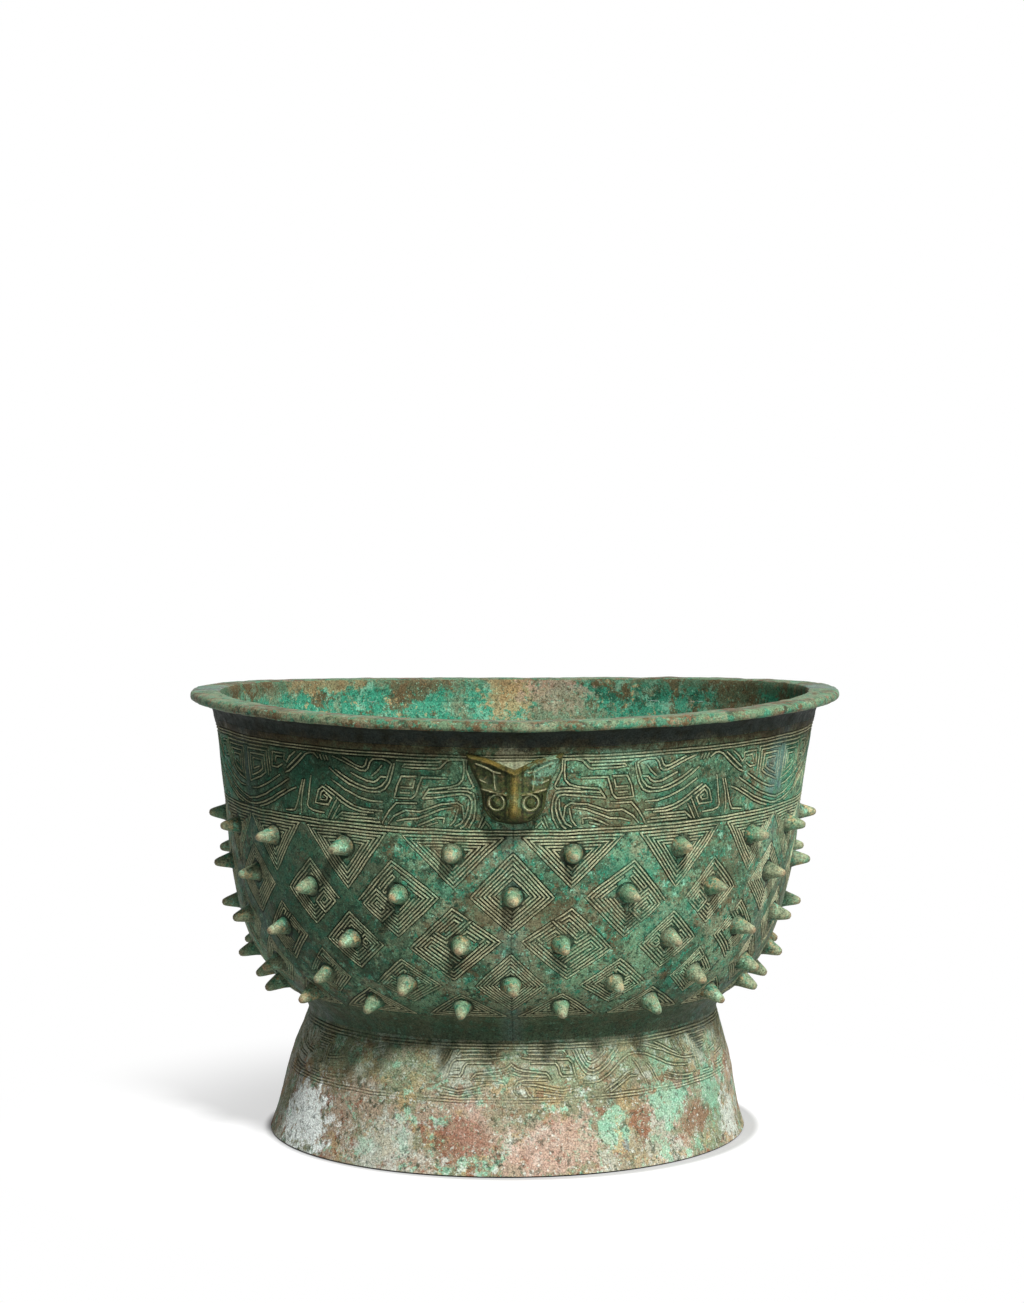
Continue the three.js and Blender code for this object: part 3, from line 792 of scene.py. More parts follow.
# Lozenge fillings on a square of 21 line widths: first number from the left corner towards the
# bottom corner, second from the left corner towards the top corner
LOZENGE_SIDE = 21
LONG_RIDGES = [
    [(20.5, 20.5), (0.5, 20.5), (0.5, 0.5), (20.5, 0.5), (20.5, 7.6)],
    [(19.4, 19.4), (1.6, 19.4), (1.6, 1.6), (19.4, 1.6), (19.4, 7.6)],
    [(2.7, 14.5), (2.7, 2.7), (18.3, 2.7), (18.3, 7.6)],
    [(3.8, 10.6), (3.8, 3.8), (17.2, 3.8), (17.2, 7.6)],
    [(4.9, 4.9), (16.1, 4.9), (16.1, 7.6)],
    [(6.0, 6.0), (15.0, 6.0), (15.0, 7.6)],
    [(7.1, 7.1), (12.6, 7.1)],
    [(12.6, 9.6), (12.6, 18.2), (20.4, 18.2), (20.4, 8.7), (13.7, 8.7), (13.7, 17.1), (19.3, 17.1),
     (19.3, 9.8), (14.8, 9.8), (14.8, 16.0), (18.2, 16.0), (18.2, 10.9), (15.9, 10.9), (15.9, 14.9),
     (17.1, 14.9), (17.1, 12.2)],
    [(3.2, 18.2), (11.4, 18.2), (11.4, 17.1), (4.4, 17.1), (4.4, 16.0), (11.4, 16.0), (11.4, 14.9),
     (5.8, 14.9)],
]
COMB_AND_HOOKS = [
    [(0.5, 12.0), (0.5, 0.5), (20.4, 0.5), (20.4, 6.0)],
    [(1.6, 12.0), (1.6, 1.6), (19.3, 1.6), (19.3, 3.0)],
    [(2.7, 11.9), (2.7, 5.0), (4.6, 5.0)],
    [(2.8, 3.9), (2.8, 2.7), (18.2, 2.7), (18.2, 3.9)],
    [(4.2, 3.9), (16.6, 3.9)],
    [(3.8, 6.4), (3.8, 11.2), (6.2, 11.2), (6.2, 9.0)],
    [(5.0, 6.4), (5.0, 9.9)],
    [(0.5, 13.0), (11.4, 13.0), (11.4, 18.4)],
    [(1.7, 14.1), (10.3, 14.1), (10.3, 18.4), (1.8, 18.4), (1.8, 15.2)],
    [(9.1, 17.3), (3.0, 17.3), (3.0, 15.2), (9.1, 15.2)],
    [(8.0, 16.25), (4.2, 16.25)],
    [(0.5, 14.2), (0.5, 20.5), (20.4, 20.5), (20.4, 7.2)],
    [(1.7, 19.4), (19.3, 19.4), (19.3, 4.2)],
    [(12.5, 5.2), (12.5, 18.3), (18.2, 18.3), (18.2, 5.2)],
    [(13.6, 4.9), (13.6, 17.2), (17.1, 17.2), (17.1, 4.9)],
    [(14.7, 4.9), (14.7, 16.1), (16.0, 16.1), (16.0, 6.2)],
]


def nested_squares(side, count):
    """Squares inside each other, 1.1 line widths apart."""
    squares = []
    for ring in range(count):
        near = 0.5 + 1.1 * ring
        far = side - near
        start = (near, side / 2)
        squares.append([start, (near, near), (far, near), (far, far), (near, far), start])
    return squares


NESTED = nested_squares(LOZENGE_SIDE, 6)

# The same fillings on the smaller square of 17 line widths
SMALL_SIDE = 17
SMALL_RIDGES = [
    [(16.5, 16.5), (0.5, 16.5), (0.5, 0.5), (16.5, 0.5), (16.5, 6.2)],
    [(15.4, 15.4), (1.6, 15.4), (1.6, 1.6), (15.4, 1.6), (15.4, 6.2)],
    [(2.7, 11.4), (2.7, 2.7), (14.3, 2.7), (14.3, 6.2)],
    [(3.8, 8.2), (3.8, 3.8), (13.2, 3.8), (13.2, 6.2)],
    [(4.9, 4.9), (12.1, 4.9), (12.1, 6.2)],
    [(10.2, 7.6), (10.2, 14.3), (16.4, 14.3), (16.4, 7.3), (11.3, 7.3), (11.3, 13.2), (15.3, 13.2),
     (15.3, 8.4), (12.4, 8.4), (12.4, 12.1), (14.2, 12.1), (14.2, 9.5), (13.3, 9.5)],
    [(2.9, 14.3), (9.1, 14.3), (9.1, 13.2), (3.9, 13.2), (3.9, 12.1), (9.1, 12.1)],
]
SMALL_COMB = [
    [(0.5, 9.6), (0.5, 0.5), (16.5, 0.5), (16.5, 5.0)],
    [(1.6, 9.6), (1.6, 1.6), (15.4, 1.6), (15.4, 2.6)],
    [(2.7, 9.5), (2.7, 4.2), (4.0, 4.2)],
    [(2.8, 2.9), (14.3, 2.9)],
    [(3.9, 5.4), (3.9, 9.0)],
    [(0.5, 10.7), (9.2, 10.7), (9.2, 14.6)],
    [(1.7, 11.8), (8.1, 11.8), (8.1, 14.5), (1.8, 14.5), (1.8, 12.9), (7.0, 12.9)],
    [(0.5, 11.9), (0.5, 16.5), (16.5, 16.5), (16.5, 6.1)],
    [(1.7, 15.5), (15.4, 15.5), (15.4, 3.7)],
    [(10.2, 4.2), (10.2, 14.5), (14.3, 14.5), (14.3, 4.2)],
    [(11.3, 4.0), (11.3, 13.4), (13.2, 13.4), (13.2, 4.0)],
    [(12.25, 4.4), (12.25, 12.3)],
]
SMALL_SPIRALS = [
    [(0.5, 2.2), (0.5, 0.5), (16.5, 0.5), (16.5, 16.5), (0.5, 16.5), (0.5, 3.4)],
    [(15.4, 1.6), (15.4, 15.4), (1.6, 15.4), (1.6, 1.6), (14.3, 1.6)],
    [(7.9, 2.7), (2.7, 2.7), (2.7, 7.6), (7.0, 7.6), (7.0, 3.8), (3.8, 3.8), (3.8, 6.5), (5.9, 6.5),
     (5.9, 4.9), (4.9, 4.9)],
    [(9.0, 2.7), (14.3, 2.7), (14.3, 9.6)],
    [(8.2, 3.8), (13.2, 3.8), (13.2, 9.6)],
    [(8.2, 4.9), (12.1, 4.9), (12.1, 9.6)],
    [(14.3, 10.8), (14.3, 14.3), (9.2, 14.3), (9.2, 10.8), (13.2, 10.8), (13.2, 13.2), (10.3, 13.2),
     (10.3, 11.9), (12.1, 11.9)],
    [(2.7, 8.7), (2.7, 14.3), (8.1, 14.3)],
    [(3.8, 8.7), (3.8, 13.2), (8.1, 13.2)],
    [(4.9, 8.7), (4.9, 12.1), (7.9, 12.1)],
]
SMALL_NESTED = nested_squares(SMALL_SIDE, 5)

# Lozenges of the belly: left, top, right and bottom corner, and the filling with its square's side
LOZENGES = [
    ((-15.5, 121), (0, 138.2), (15.5, 121), (0, 106.5), NESTED, LOZENGE_SIDE),
    ((25.5, 120.5), (44, 134), (58.5, 117.2), (42.5, 103.5), LONG_RIDGES, LOZENGE_SIDE),
    ((92.8, 118), (79.5, 131.5), (66, 117), (79, 104.8), SMALL_RIDGES, SMALL_SIDE),
    ((100.6, 118), (115.2, 132), (129.8, 118), (115.2, 104.5), NESTED, LOZENGE_SIDE),
    ((3, 104), (21.5, 117.2), (39, 99.5), (22, 86), COMB_AND_HOOKS, LOZENGE_SIDE),
    ((48.3, 100), (62.5, 112.8), (75.4, 100), (61, 88.6), SMALL_SPIRALS, SMALL_SIDE),
    ((85, 99.5), (98.5, 112.4), (111, 99.5), (98, 87.6), SMALL_COMB, SMALL_SIDE),
    ((-14.6, 83.5), (0, 99), (14.6, 83.5), (0, 69.8), NESTED, LOZENGE_SIDE),
    ((26.5, 83.5), (42.5, 95.4), (56.4, 83), (42, 73.4), SMALL_RIDGES, SMALL_SIDE),
    ((91.2, 84), (79, 96), (67.4, 84), (80, 73.8), SMALL_COMB, SMALL_SIDE),
    ((103, 84), (115.2, 96), (127.4, 84), (115.2, 73.8), SMALL_NESTED, SMALL_SIDE),
]

# Half lozenges under the neck's border and above the waist: left end, right end and tip
HANGING = [((3.4, 143.4), (39.4, 143.4), (21, 124.4)), ((45.8, 143.4), (80.2, 143.4), (62, 121.4)),
           ((84.4, 143.4), (114.6, 143.4), (99.4, 123.2))]
STANDING = [((2.6, 66.6), (37.4, 66.6), (20.8, 79.4)), ((43.6, 66.6), (81, 66.6), (61, 79.2)),
            ((85, 66.6), (112.6, 66.6), (98.6, 79))]
NESTED_TRIANGLES = 5
TRIANGLE_STEP = 1.15
SMALLEST_TRIANGLE = 0.12

# Bosses: (across, up) of each root in one sector, row by row from the top. Some stand on the seams
NEAR_SEAM = 0
FAR_SEAM = 115.2
BOSS_ROWS = [
    [(21, 137), (63, 137), (99.5, 137)],
    [(NEAR_SEAM, 121), (42, 121), (80, 120), (FAR_SEAM, 120.5)],
    [(19.2, 102.2), (62.5, 101.5), (99, 101.5)],
    [(NEAR_SEAM, 84.5), (42, 84), (80, 84.5), (FAR_SEAM, 84)],
    [(20.6, 72.6), (62, 72.4), (99, 72.4)],
]

# The foot's frieze: the same dragon, lower and more worn
FOOT_DRAGON = [
    [(0, 42.0), (2.0, 40.4), (5, 39.5), (9.5, 39.0), (14.2, 38.6), (15.2, 37.6), (15.9, 36.3)],
    [(14.2, 37.3), (8, 37.6), (3.6, 37.9), (0.8, 38.9)],
    [(14.4, 36.0), (5.4, 36.2), (2.6, 35.4), (1.4, 33.8), (1.7, 32), (3.2, 30.4)],
    [(4.2, 44.5), (9, 44.0), (17, 43.8), (23.4, 43.5), (24.9, 42.2), (25.9, 38.2), (26.6, 36.0)],
    [(25.0, 37.0), (20.8, 37.2), (19.9, 38.4), (19.4, 40.8), (18.2, 42.2), (8.0, 42.4)],
    [(21.4, 39.8), (23.6, 39.7)],
    [(6.2, 47.0), (14, 46.9), (21.6, 46.7), (22.6, 45.4)],
    [(7.0, 45.7), (20.6, 45.3)],
    [(4.6, 34.6), (10.2, 34.2), (14.4, 33.2), (18.4, 32.2), (20.8, 31.8), (27.4, 32.8)],
    [(6.2, 33.0), (7.2, 30.6), (8.6, 29.6)],
    [(10.2, 31.8), (15, 31.0), (20.6, 29.9), (28, 30.4)],
    [(25.4, 46.8), (27.2, 42.6), (29.4, 39.2), (31.2, 37.6), (33.6, 37.2), (37, 38), (40.6, 40.4),
     (44.2, 43.8), (47.8, 46.9)],
    [(26.8, 46.8), (28.6, 43.0), (30.4, 40.4), (32.2, 38.9), (34.2, 38.6), (37, 39.6), (40, 41.8),
     (43.4, 44.9), (45.8, 46.9)],
    [(29.8, 46.6), (30.6, 44.2), (31.8, 42.2), (33.4, 41.6), (35.8, 42.4), (38.6, 44.4), (40.2, 45.9)],
    [(29.8, 34.4), (32.8, 34.0), (36.4, 34.6), (40.8, 36.8), (44.6, 39.6), (48.4, 42.2), (51.0, 43.5),
     (55, 43.8), (60, 42.7), (65, 40.5), (70, 38.0), (75, 36.4), (84, 35.4)],
    [(38.4, 30.6), (44.8, 34.0), (49.2, 36.6), (51.4, 37.2)],
    [(41.2, 30.2), (46.4, 33.0), (50.4, 35.0), (53.6, 34.8)],
    [(52.8, 41.4), (54.6, 39.4), (56.0, 36.6), (57.2, 34.0), (58.4, 30.6)],
    [(59.4, 38.6), (61.0, 36.4), (62.4, 32.8), (64.0, 30.2)],
    [(60.8, 38.9), (62.4, 36.4), (63.8, 32.9), (65.2, 30.6)],
    [(56.5, 46.8), (62, 45.4), (68.4, 43.2)],
    [(60.6, 46.9), (66, 45.0), (71.6, 42.0), (77, 39.8), (83, 38.4), (90, 37.9)],
    [(65.5, 46.7), (70, 44.4), (75, 41.8), (79.6, 39.9)],
    [(69.6, 34.4), (75, 32.6), (80, 31.8), (86, 31.6)],
    [(67.6, 33.0), (74, 31.2), (79.6, 30.4), (86, 30.2)],
    [(75.4, 45.6), (76.4, 43.0), (78.2, 41.0)],
    [(79.6, 46.0), (81.2, 42.8), (82.8, 40.6)],
    [(83.8, 45.8), (84.2, 43.2), (85.8, 40.6)],
    [(88.2, 40.2), (88.2, 46.4), (98, 46.4)],
    [(90.0, 33.2), (90.0, 44.6), (98, 44.6)],
    [(91.8, 32.0), (91.8, 42.8), (98, 42.8)],
    [(93.6, 35.4), (93.6, 40.8), (98, 40.8)],
    [(93.4, 31.2), (98, 31.2)],
]
FOOT_BORDERS = [49.2, 48.0, 29.1, 28.0]
FOOT_FRIEZE = (29.9, 47.2)


def fill_lozenge(left, top, right, bottom, filling, side):
    """A filling carried from its square on to a lozenge."""
    left, top, right, bottom = (np.array(corner, float) for corner in (left, top, right, bottom))
    longest = 6
    lines = []
    for line in filling:
        placed = []
        for point in refine(line, longest):
            along, upward = point / side
            placed.append(tuple(
                left * (1 - along) * (1 - upward)
                + bottom * along * (1 - upward)
                + right * along * upward
                + top * (1 - along) * upward
            ))
        lines.append(placed)
    return lines


def nested_triangle(left, right, tip):
    """Triangles inside each other round the same middle, a step apart, until they get too small."""
    corners = [np.array(corner, float) for corner in (left, right, tip)]
    sides = [np.hypot(*(corners[(i + 1) % 3] - corners[(i + 2) % 3])) for i in range(3)]
    middle = sum(corner * side for corner, side in zip(corners, sides)) / sum(sides)
    doubled = abs(np.cross(corners[1] - corners[0], corners[2] - corners[0]))
    inradius = doubled / sum(sides)
    lines = []
    for ring in range(NESTED_TRIANGLES):
        shrink = 1 - TRIANGLE_STEP * ring / inradius
        if shrink < SMALLEST_TRIANGLE:
            break
        a, b, c = (middle + (corner - middle) * shrink for corner in corners)
        lines.append([tuple(a), tuple(b), tuple(c), tuple(a)])
    return lines


def neck_lines():
    width = NECK_RADIUS * SECTOR_ANGLE
    borders = [[(0, up), (width, up)] for up in NECK_BORDERS]
    hanging = [line for triangle in HANGING for line in nested_triangle(*triangle)]
    stretch = NECK_RADIUS / BELLY_RADIUS
    return NECK_DRAGON + borders + [[(x * stretch, up) for x, up in line] for line in hanging]


def belly_lines():
    width = BELLY_RADIUS * SECTOR_ANGLE
    lines = []
    for lozenge in LOZENGES:
        lines += fill_lozenge(*lozenge)
    lines = clip_lines(lines, (0, 60), (width, 139.2))
    for triangle in HANGING + STANDING:
        lines += nested_triangle(*triangle)
    lines = cut_round(lines, boss_spots(), BOSS_RING_FLOOR)
    return lines + [[(0, NECK_BORDERS[-1]), (width, NECK_BORDERS[-1])]]


def boss_spots():
    return [np.array(spot, float) for row in BOSS_ROWS for spot in row]


def inner_face(low, high, wall, count):
    """Radii and heights of the inner face between two lengths, from the top down."""
    radius, height, out, up = face_at(np.linspace(high, low, count))
    return list(zip(radius - wall * out, height - wall * up))


def neck():
    """The neck's wall, from the belly's top to the lip's seat."""
    width = NECK_RADIUS * SECTOR_ANGLE
    sector = engrave(neck_lines(), width, NECK_START, LIP_SEAT, sizes().line_depth / MM)
    mesh, made = start_wall("neck", sector, NECK_RADIUS, LINE_WEAR)
    top, bottom = face_at(LIP_SEAT), face_at(NECK_START)
    lower = open_loop(made, False)
    stations = [(top[0] - WALL, top[1])] + inner_face(NECK_START, LIP_SEAT, WALL, NECK_STATIONS)[1:-1]
    stations += [(bottom[0] - WALL, bottom[1])]
    inner = carry_on(made, open_loop(made, True), stations, 1)
    bmesh.ops.bridge_loops(made, edges=inner + lower)
    return end_wall(mesh, made)


def sagging_floor(level):
    """A floor's stations from its edge to its middle, hanging lower in the middle."""
    return [(share * FLOOR_RADIUS, level - FLOOR_SAG * (1 - share**2)) for share in FLOOR_SHARES]


def belly():
    """The belly's wall and floor. The floor's underside closes it inside the foot."""
    width = BELLY_RADIUS * SECTOR_ANGLE
    depth = sizes().line_depth / MM
    sector = engrave(belly_lines(), width, WAIST, NECK_START, depth, spots=boss_spots())
    mesh, made = start_wall("belly", sector, BELLY_RADIUS, LINE_WEAR)
    top = face_at(NECK_START)
    lower = open_loop(made, False)
    inside = inner_face(WAIST + FLOOR_ROUNDING, NECK_START, WALL, BELLY_STATIONS)
    stations = [(top[0] - WALL, top[1])] + inside[1:] + sagging_floor(FLOOR_TOP)
    carry_on(made, open_loop(made, True), stations, 1, to_axis=True)
    carry_on(made, lower, [FLOOR_CORNER] + sagging_floor(FLOOR_UNDERSIDE), 2, to_axis=True)
    return end_wall(mesh, made)


def foot():
    """The foot ring's wall, open inside up to the floor's underside."""
    width = FOOT_RADIUS * SECTOR_ANGLE
    borders = [[(0, up), (width, up)] for up in FOOT_BORDERS]
    low, high = FOOT_FRIEZE
    lines = clip_lines(FOOT_DRAGON, (0, low), (width, high)) + borders
    sector = engrave(lines, width, FOOT_EDGE, WAIST, sizes().foot_line_depth / MM, spacing=FOOT_SPACING)
    mesh, made = start_wall("foot", sector, FOOT_RADIUS, FOOT_LINE_WEAR)
    upper = open_loop(made, True)
    edge = face_at(FOOT_EDGE)[0]
    sole = [(edge - inwards, height) for inwards, height in SOLE + [SOLE_CORNER]]
    loop = carry_on(made, open_loop(made, False), sole[:-1], 2)
    inside = inner_face(FOOT_EDGE + SOLE_MARGIN, WAIST - SOLE_MARGIN, FOOT_WALL, FOOT_STATIONS)
    inner = carry_on(made, loop, sole[-1:] + inside[::-1] + [FLOOR_CORNER], 1)
    bmesh.ops.bridge_loops(made, edges=inner + upper)
    return end_wall(mesh, made)


def turn_section(name, section, sides):
    """A circle carried by extruding and resizing through the (radius, height) stations of a section."""
    bpy.ops.object.select_all(action="DESELECT")
    bpy.ops.mesh.primitive_circle_add(vertices=sides, radius=section[0][0] * MM, location=(0, 0, 0))
    piece = bpy.context.object
    piece.name = name
    bpy.ops.object.mode_set(mode="EDIT")
    bpy.ops.mesh.select_all(action="SELECT")
    bpy.ops.transform.translate(value=(0, 0, section[0][1] * MM))
    for (radius, height), (next_radius, next_height) in zip(section[:-1], section[1:]):
        rise = (0, 0, (next_height - height) * MM)
        bpy.ops.mesh.extrude_region_move(TRANSFORM_OT_translate={"value": rise})
        share = next_radius / radius
        bpy.ops.transform.resize(value=(share, share, 1), center_override=(0, 0, next_height * MM))
    return piece


def close_turned(piece):
    """Welds a turned piece, fills what is still open and points its faces out."""
    bpy.ops.mesh.select_all(action="SELECT")
    bpy.ops.mesh.remove_doubles(threshold=1e-6)
    bpy.ops.mesh.select_all(action="DESELECT")
    bpy.ops.mesh.select_non_manifold()
    if any(edge.select for edge in bmesh.from_edit_mesh(piece.data).edges):
        bpy.ops.mesh.edge_face_add()
    bpy.ops.mesh.select_all(action="SELECT")
    bpy.ops.mesh.normals_make_consistent(inside=False)
    bpy.ops.object.mode_set(mode="OBJECT")
    return piece


def lip():
    """The flat lip, turned from its section, then leaning and uneven as the casting is."""
    piece = close_turned(turn_section("lip", LIP_SECTION + LIP_SECTION[:1], LIP_SIDES))
    vertices = piece.data.vertices
    places = np.empty(3 * len(vertices))
    vertices.foreach_get("co", places)
    x, y, z = places.reshape(-1, 3).T / MM
    for face in piece.data.polygons:
        radius, height = math.hypot(*face.center[:2]) / MM, face.center.z / MM
        if radius < LIP_INSIDE and height < LIP_TOP:
            face.material_index = 1
        elif radius < LIP_EDGE and height < LIP_UNDERSIDE:
            face.material_index = 2
    vertices.foreach_set("co", settle(np.hypot(x, y), z, np.arctan2(x, -y)).ravel())
    return piece


def gauss(distance, width):
    """A soft hump: 1 in its middle, and about a third at its half width."""
    return np.exp(-((distance / width) ** 2))


def slit(away_long, away_short, half_length, width):
    """A soft hump drawn out to a short line, from the distances along it and beside it."""
    past_end = np.maximum(np.abs(away_long) - half_length, 0)
    return gauss(np.hypot(past_end, away_short), width)


def nose_ridge(across, up, width, end):
    """The nose's ridge, from between the brows down to its end above the chin."""
    return gauss(across, width) * smooth_step((8 - up) / 5) * smooth_step((up - end) / 3)


def mask_rubbed(points):
    """How much hands have rubbed the mask at (across, up) points: on its ear rims, brows, nose and muzzle."""
    across, up = np.abs(points[:, 0]), points[:, 1]
    half = np.stack([across, up], -1)
    rims = gauss(distance_to_lines(half, [EAR_RIM]), 1.2)
    brows = gauss(distance_to_lines(half, [BROW]), 0.6)
    muzzle = gauss(across, 3.4) * gauss(up + 7.4, 2.6)
    return np.max([rims, 0.8 * brows, nose_ridge(across, up, 1.7, -12), 0.9 * muzzle], axis=0)


def eye_relief(across, up):
    """How far an eye stands out: a ball with a slit, in a ring, in a hollow."""
    aside, above = across - EYE_PLACE[0], up - EYE_PLACE[1]
    along = aside * math.cos(EYE_TILT) + above * math.sin(EYE_TILT)
    beside = above * math.cos(EYE_TILT) - aside * math.sin(EYE_TILT)
    eye = np.hypot(along / EYE_HALF_SIZE[0], beside / EYE_HALF_SIZE[1])
    hollow = 1.3 * smooth_step((1.5 - eye) / 0.5)
    ring = 1.2 * gauss(eye - 1.0, 0.2)
    ball = 1.9 * np.clip(1 - (eye / 0.8) ** 2, 0, 1) ** 0.7
    return ring + ball + 0.35 * slit(along, beside, 1.0, 0.3) - hollow


def mask_relief(points, edge):
    """How far the mask stands out at (across, up) points, given their distance from its outline."""
    across, up = np.abs(points[:, 0]), points[:, 1]
    half = np.stack([across, up], -1)
    cheek_fall = 0.5 * smooth_step((2 - up) / 6) * (across / 12.5) ** 2
    relief = np.interp(up, *zip(*MASK_PROFILE)) * (sizes().mask_reach / MM / MASK_REACH) * (1 - cheek_fall)
    relief += 2.4 * nose_ridge(across, up, 1.9, -11)
    for (x, y), (wide, tall), height in MASK_SWELLINGS:
        relief += height * gauss(across - x, wide) * gauss(up - y, tall)
    for lines, height, width in MASK_LINES:
        for line in lines:
            relief += height * gauss(distance_to_lines(half, [line]), width)
    nostril = 0.8 * slit(up + 7.8, across - 1.7, 1.0, 0.42)
    relief += eye_relief(across, up) - nostril
    rim_height, rim_width = 0.5, 1.5
    return rim_height + (relief - rim_height) * smooth_step(edge / rim_width) ** 0.6


def mask_sunk(points):
    """How deep in the mask's lines and hollows (across, up) points lie, from 1 in a line to -1 on a proud
    thin edge. The depth is used for painted shade in the hollows and under the chin.
    """
    across, up = np.abs(points[:, 0]), points[:, 1]
    half = np.stack([across, up], -1)
    eye = np.hypot(across - EYE_PLACE[0], up - EYE_PLACE[1])
    cheeks = gauss(distance_to_lines(half, CHEEK_LINES), 0.5)
    round_eye, round_ball = gauss(eye - 3.5, 0.6), gauss(eye - 1.8, 0.4)
    nose_side = gauss(across - 2.9, 0.7)
    ears = gauss(across - 7.4, 3.4) * gauss(up - 3.6, 2.6)
    # Under the chin, where the muzzle faces down, counts as sunk so that it gets painted shade
    chin = smooth_step((-9.6 - up) / 2)
    deep = np.max([cheeks, round_eye, round_ball, 0.8 * nose_side, 0.85 * ears, 0.8 * chin], axis=0)
    thin_lines = gauss(distance_to_lines(half, EAR_LINES + [BROW]), 0.4)
    eye_ring = gauss(eye - 2.65, 0.36)
    proud = np.maximum(eye_ring, 0.9 * thin_lines)
    return deep * (1 - proud) - proud


def lies_inside(points, outline):
    """Which points lie inside a closed outline."""
    inside = np.zeros(len(points), bool)
    across, up = points[:, 0], points[:, 1]
    for (x1, y1), (x2, y2) in zip(outline, outline[1:] + outline[:1]):
        if y1 == y2:
            continue
        crosses = (y1 > up) != (y2 > up)
        inside ^= crosses & (across < x1 + (up - y1) * (x2 - x1) / (y2 - y1))
    return inside


def mask_front():
    """A mask's flat front: points (across, up), triangles, and each point's distance from the outline."""
    right = [(share * MASK_HALF_WIDTH, level * MASK_HALF_HEIGHT) for share, level in MASK_OUTLINE]
    left = [(-x, y) for x, y in right[-2::-1]]
    outline = refine(right + left, MASK_EDGE_SPACING)[:-1]
    edges = [(i, (i + 1) % len(outline)) for i in range(len(outline))]
    inset = 0.1
    columns = np.arange(inset - MASK_HALF_WIDTH, MASK_HALF_WIDTH, MASK_SPACING)
    rows = np.arange(inset - MASK_HALF_HEIGHT, MASK_HALF_HEIGHT, MASK_SPACING)
    grid = np.array([(x, y) for x in columns for y in rows])
    loop = [outline + outline[:1]]
    grid = grid[lies_inside(grid, outline) & (distance_to_lines(grid, loop) > MASK_CLEARANCE)]
    places, triangles = triangulate([*outline, *grid], edges)
    triangles = triangles[lies_inside(places[triangles].mean(1), outline)]
    return places, triangles, distance_to_lines(places, loop)


def front_back_and_sides(triangles, count):
    """A front's triangles, the same with their numbers past a count as its back, and sides round the edge."""
    front = [tuple(face) for face in triangles.tolist()]
    back = [tuple(i + count for i in reversed(face)) for face in front]
    ways = dict.fromkeys((a, b) for face in front for a, b in zip(face, face[1:] + face[:1]))
    sides = [(b, a, a + count, b + count) for a, b in ways if (b, a) not in ways]
    return front + back + sides


def mask(name, angle):
    """An animal mask: a fine relief over the wall, closed at the back by a copy sunk in the wall."""
    places, triangles, edge = mask_front()
    height = MASK_LEVEL + places[:, 1]
    radius = np.interp(height, FACE_HEIGHTS, FACE_RADII)
    turn = angle + places[:, 0] / NECK_RADIUS
    outer = settle(radius + mask_relief(places, edge), height, turn)
    inner = settle(radius - MASK_SUNK, height, turn)
    plain = np.zeros(len(places))
    mesh = new_mesh(
        name, np.concatenate([outer, inner]), front_back_and_sides(triangles, len(places)),
        rubbed=np.concatenate([mask_rubbed(places), plain]), sunk=np.concatenate([mask_sunk(places), plain]),
    )
    made = bmesh.new()
    made.from_mesh(mesh)
    face_outwards(mesh, made)
    return add_piece(mesh)


def boss_pattern():
    """One boss, standing on the origin along +Z."""
    wide = sizes().boss_width / MM / BOSS_WIDTH
    tall = sizes().boss_length / MM / BOSS_LENGTH
    section = [(radius * wide, height * tall) for radius, height in BOSS_SECTION]
    pattern = turn_section("boss_pattern", section, BOSS_SIDES)
    bpy.ops.mesh.merge(type="CENTER")
    return close_turned(pattern)


def boss_angles(spots):
    """The angle round the wall and the length up it of each boss in a row, each seam's boss only once."""
    for turn in range(SECTORS):
        mirrored = turn % 2 == 1
        for across, up in spots:
            if across == (NEAR_SEAM if mirrored else FAR_SEAM):
                continue
            share = SECTOR_ANGLE if across == FAR_SEAM else across / BELLY_RADIUS
            angle = (turn + 1) * SECTOR_ANGLE - share if mirrored else turn * SECTOR_ANGLE + share
            yield angle, up


def lone_boss(plain, angle, up, chance):
    """One boss's points on the wall, a little different from the pattern by chance."""
    radius, height, out, rise = face_at(up)
    length, wide, droop, sway, shift, lean = (chance.uniform(-spread, spread) for spread in BOSS_SPREADS)
    shape = plain * (1 + wide, 1 + wide, 1 + length)
    shape[:, 0] += lean * (np.clip(shape[:, 2], 0, 9) / 8) ** 2
    droop += BOSS_DROOP * math.atan2(-rise, out)
    askew = Matrix.Rotation(sway, 3, "Z") @ Matrix.Rotation(math.pi / 2 + droop, 3, "X")
    around = Matrix.Rotation(angle + shift, 3, "Z")
    root = settle(float(radius), float(height), angle + shift)
    return shape @ np.array(askew).T @ np.array(around).T * MM + root


def boss_row(number, spots, pattern, chance):
    """One row of bosses round the belly, each a little different, pointing out and a little down."""
    plain = np.array([tuple(vert.co) for vert in pattern.data.vertices]) / MM
    bosses = [lone_boss(plain, angle, up, chance) for angle, up in boss_angles(spots)]
    faces = [
        tuple(i + boss * len(plain) for i in face.vertices)
        for boss in range(len(bosses))
        for face in pattern.data.polygons
    ]
    tips = np.tile(plain[:, 2] / plain[:, 2].max(), len(bosses))
    return add_piece(new_mesh(f"boss_row_{number}", np.concatenate(bosses), faces, tip=tips))


def add_node(tree, kind, settings, inputs):
    """Adds a node with its settings. Each input is a value, or the output that it is linked to."""
    node = tree.nodes.new(kind)
    for name, value in settings.items():
        setattr(node, name, value)
    for socket, value in inputs.items():
        if isinstance(value, bpy.types.NodeSocket):
            tree.links.new(value, node.inputs[socket])
        else:
            node.inputs[socket].default_value = value
    return node


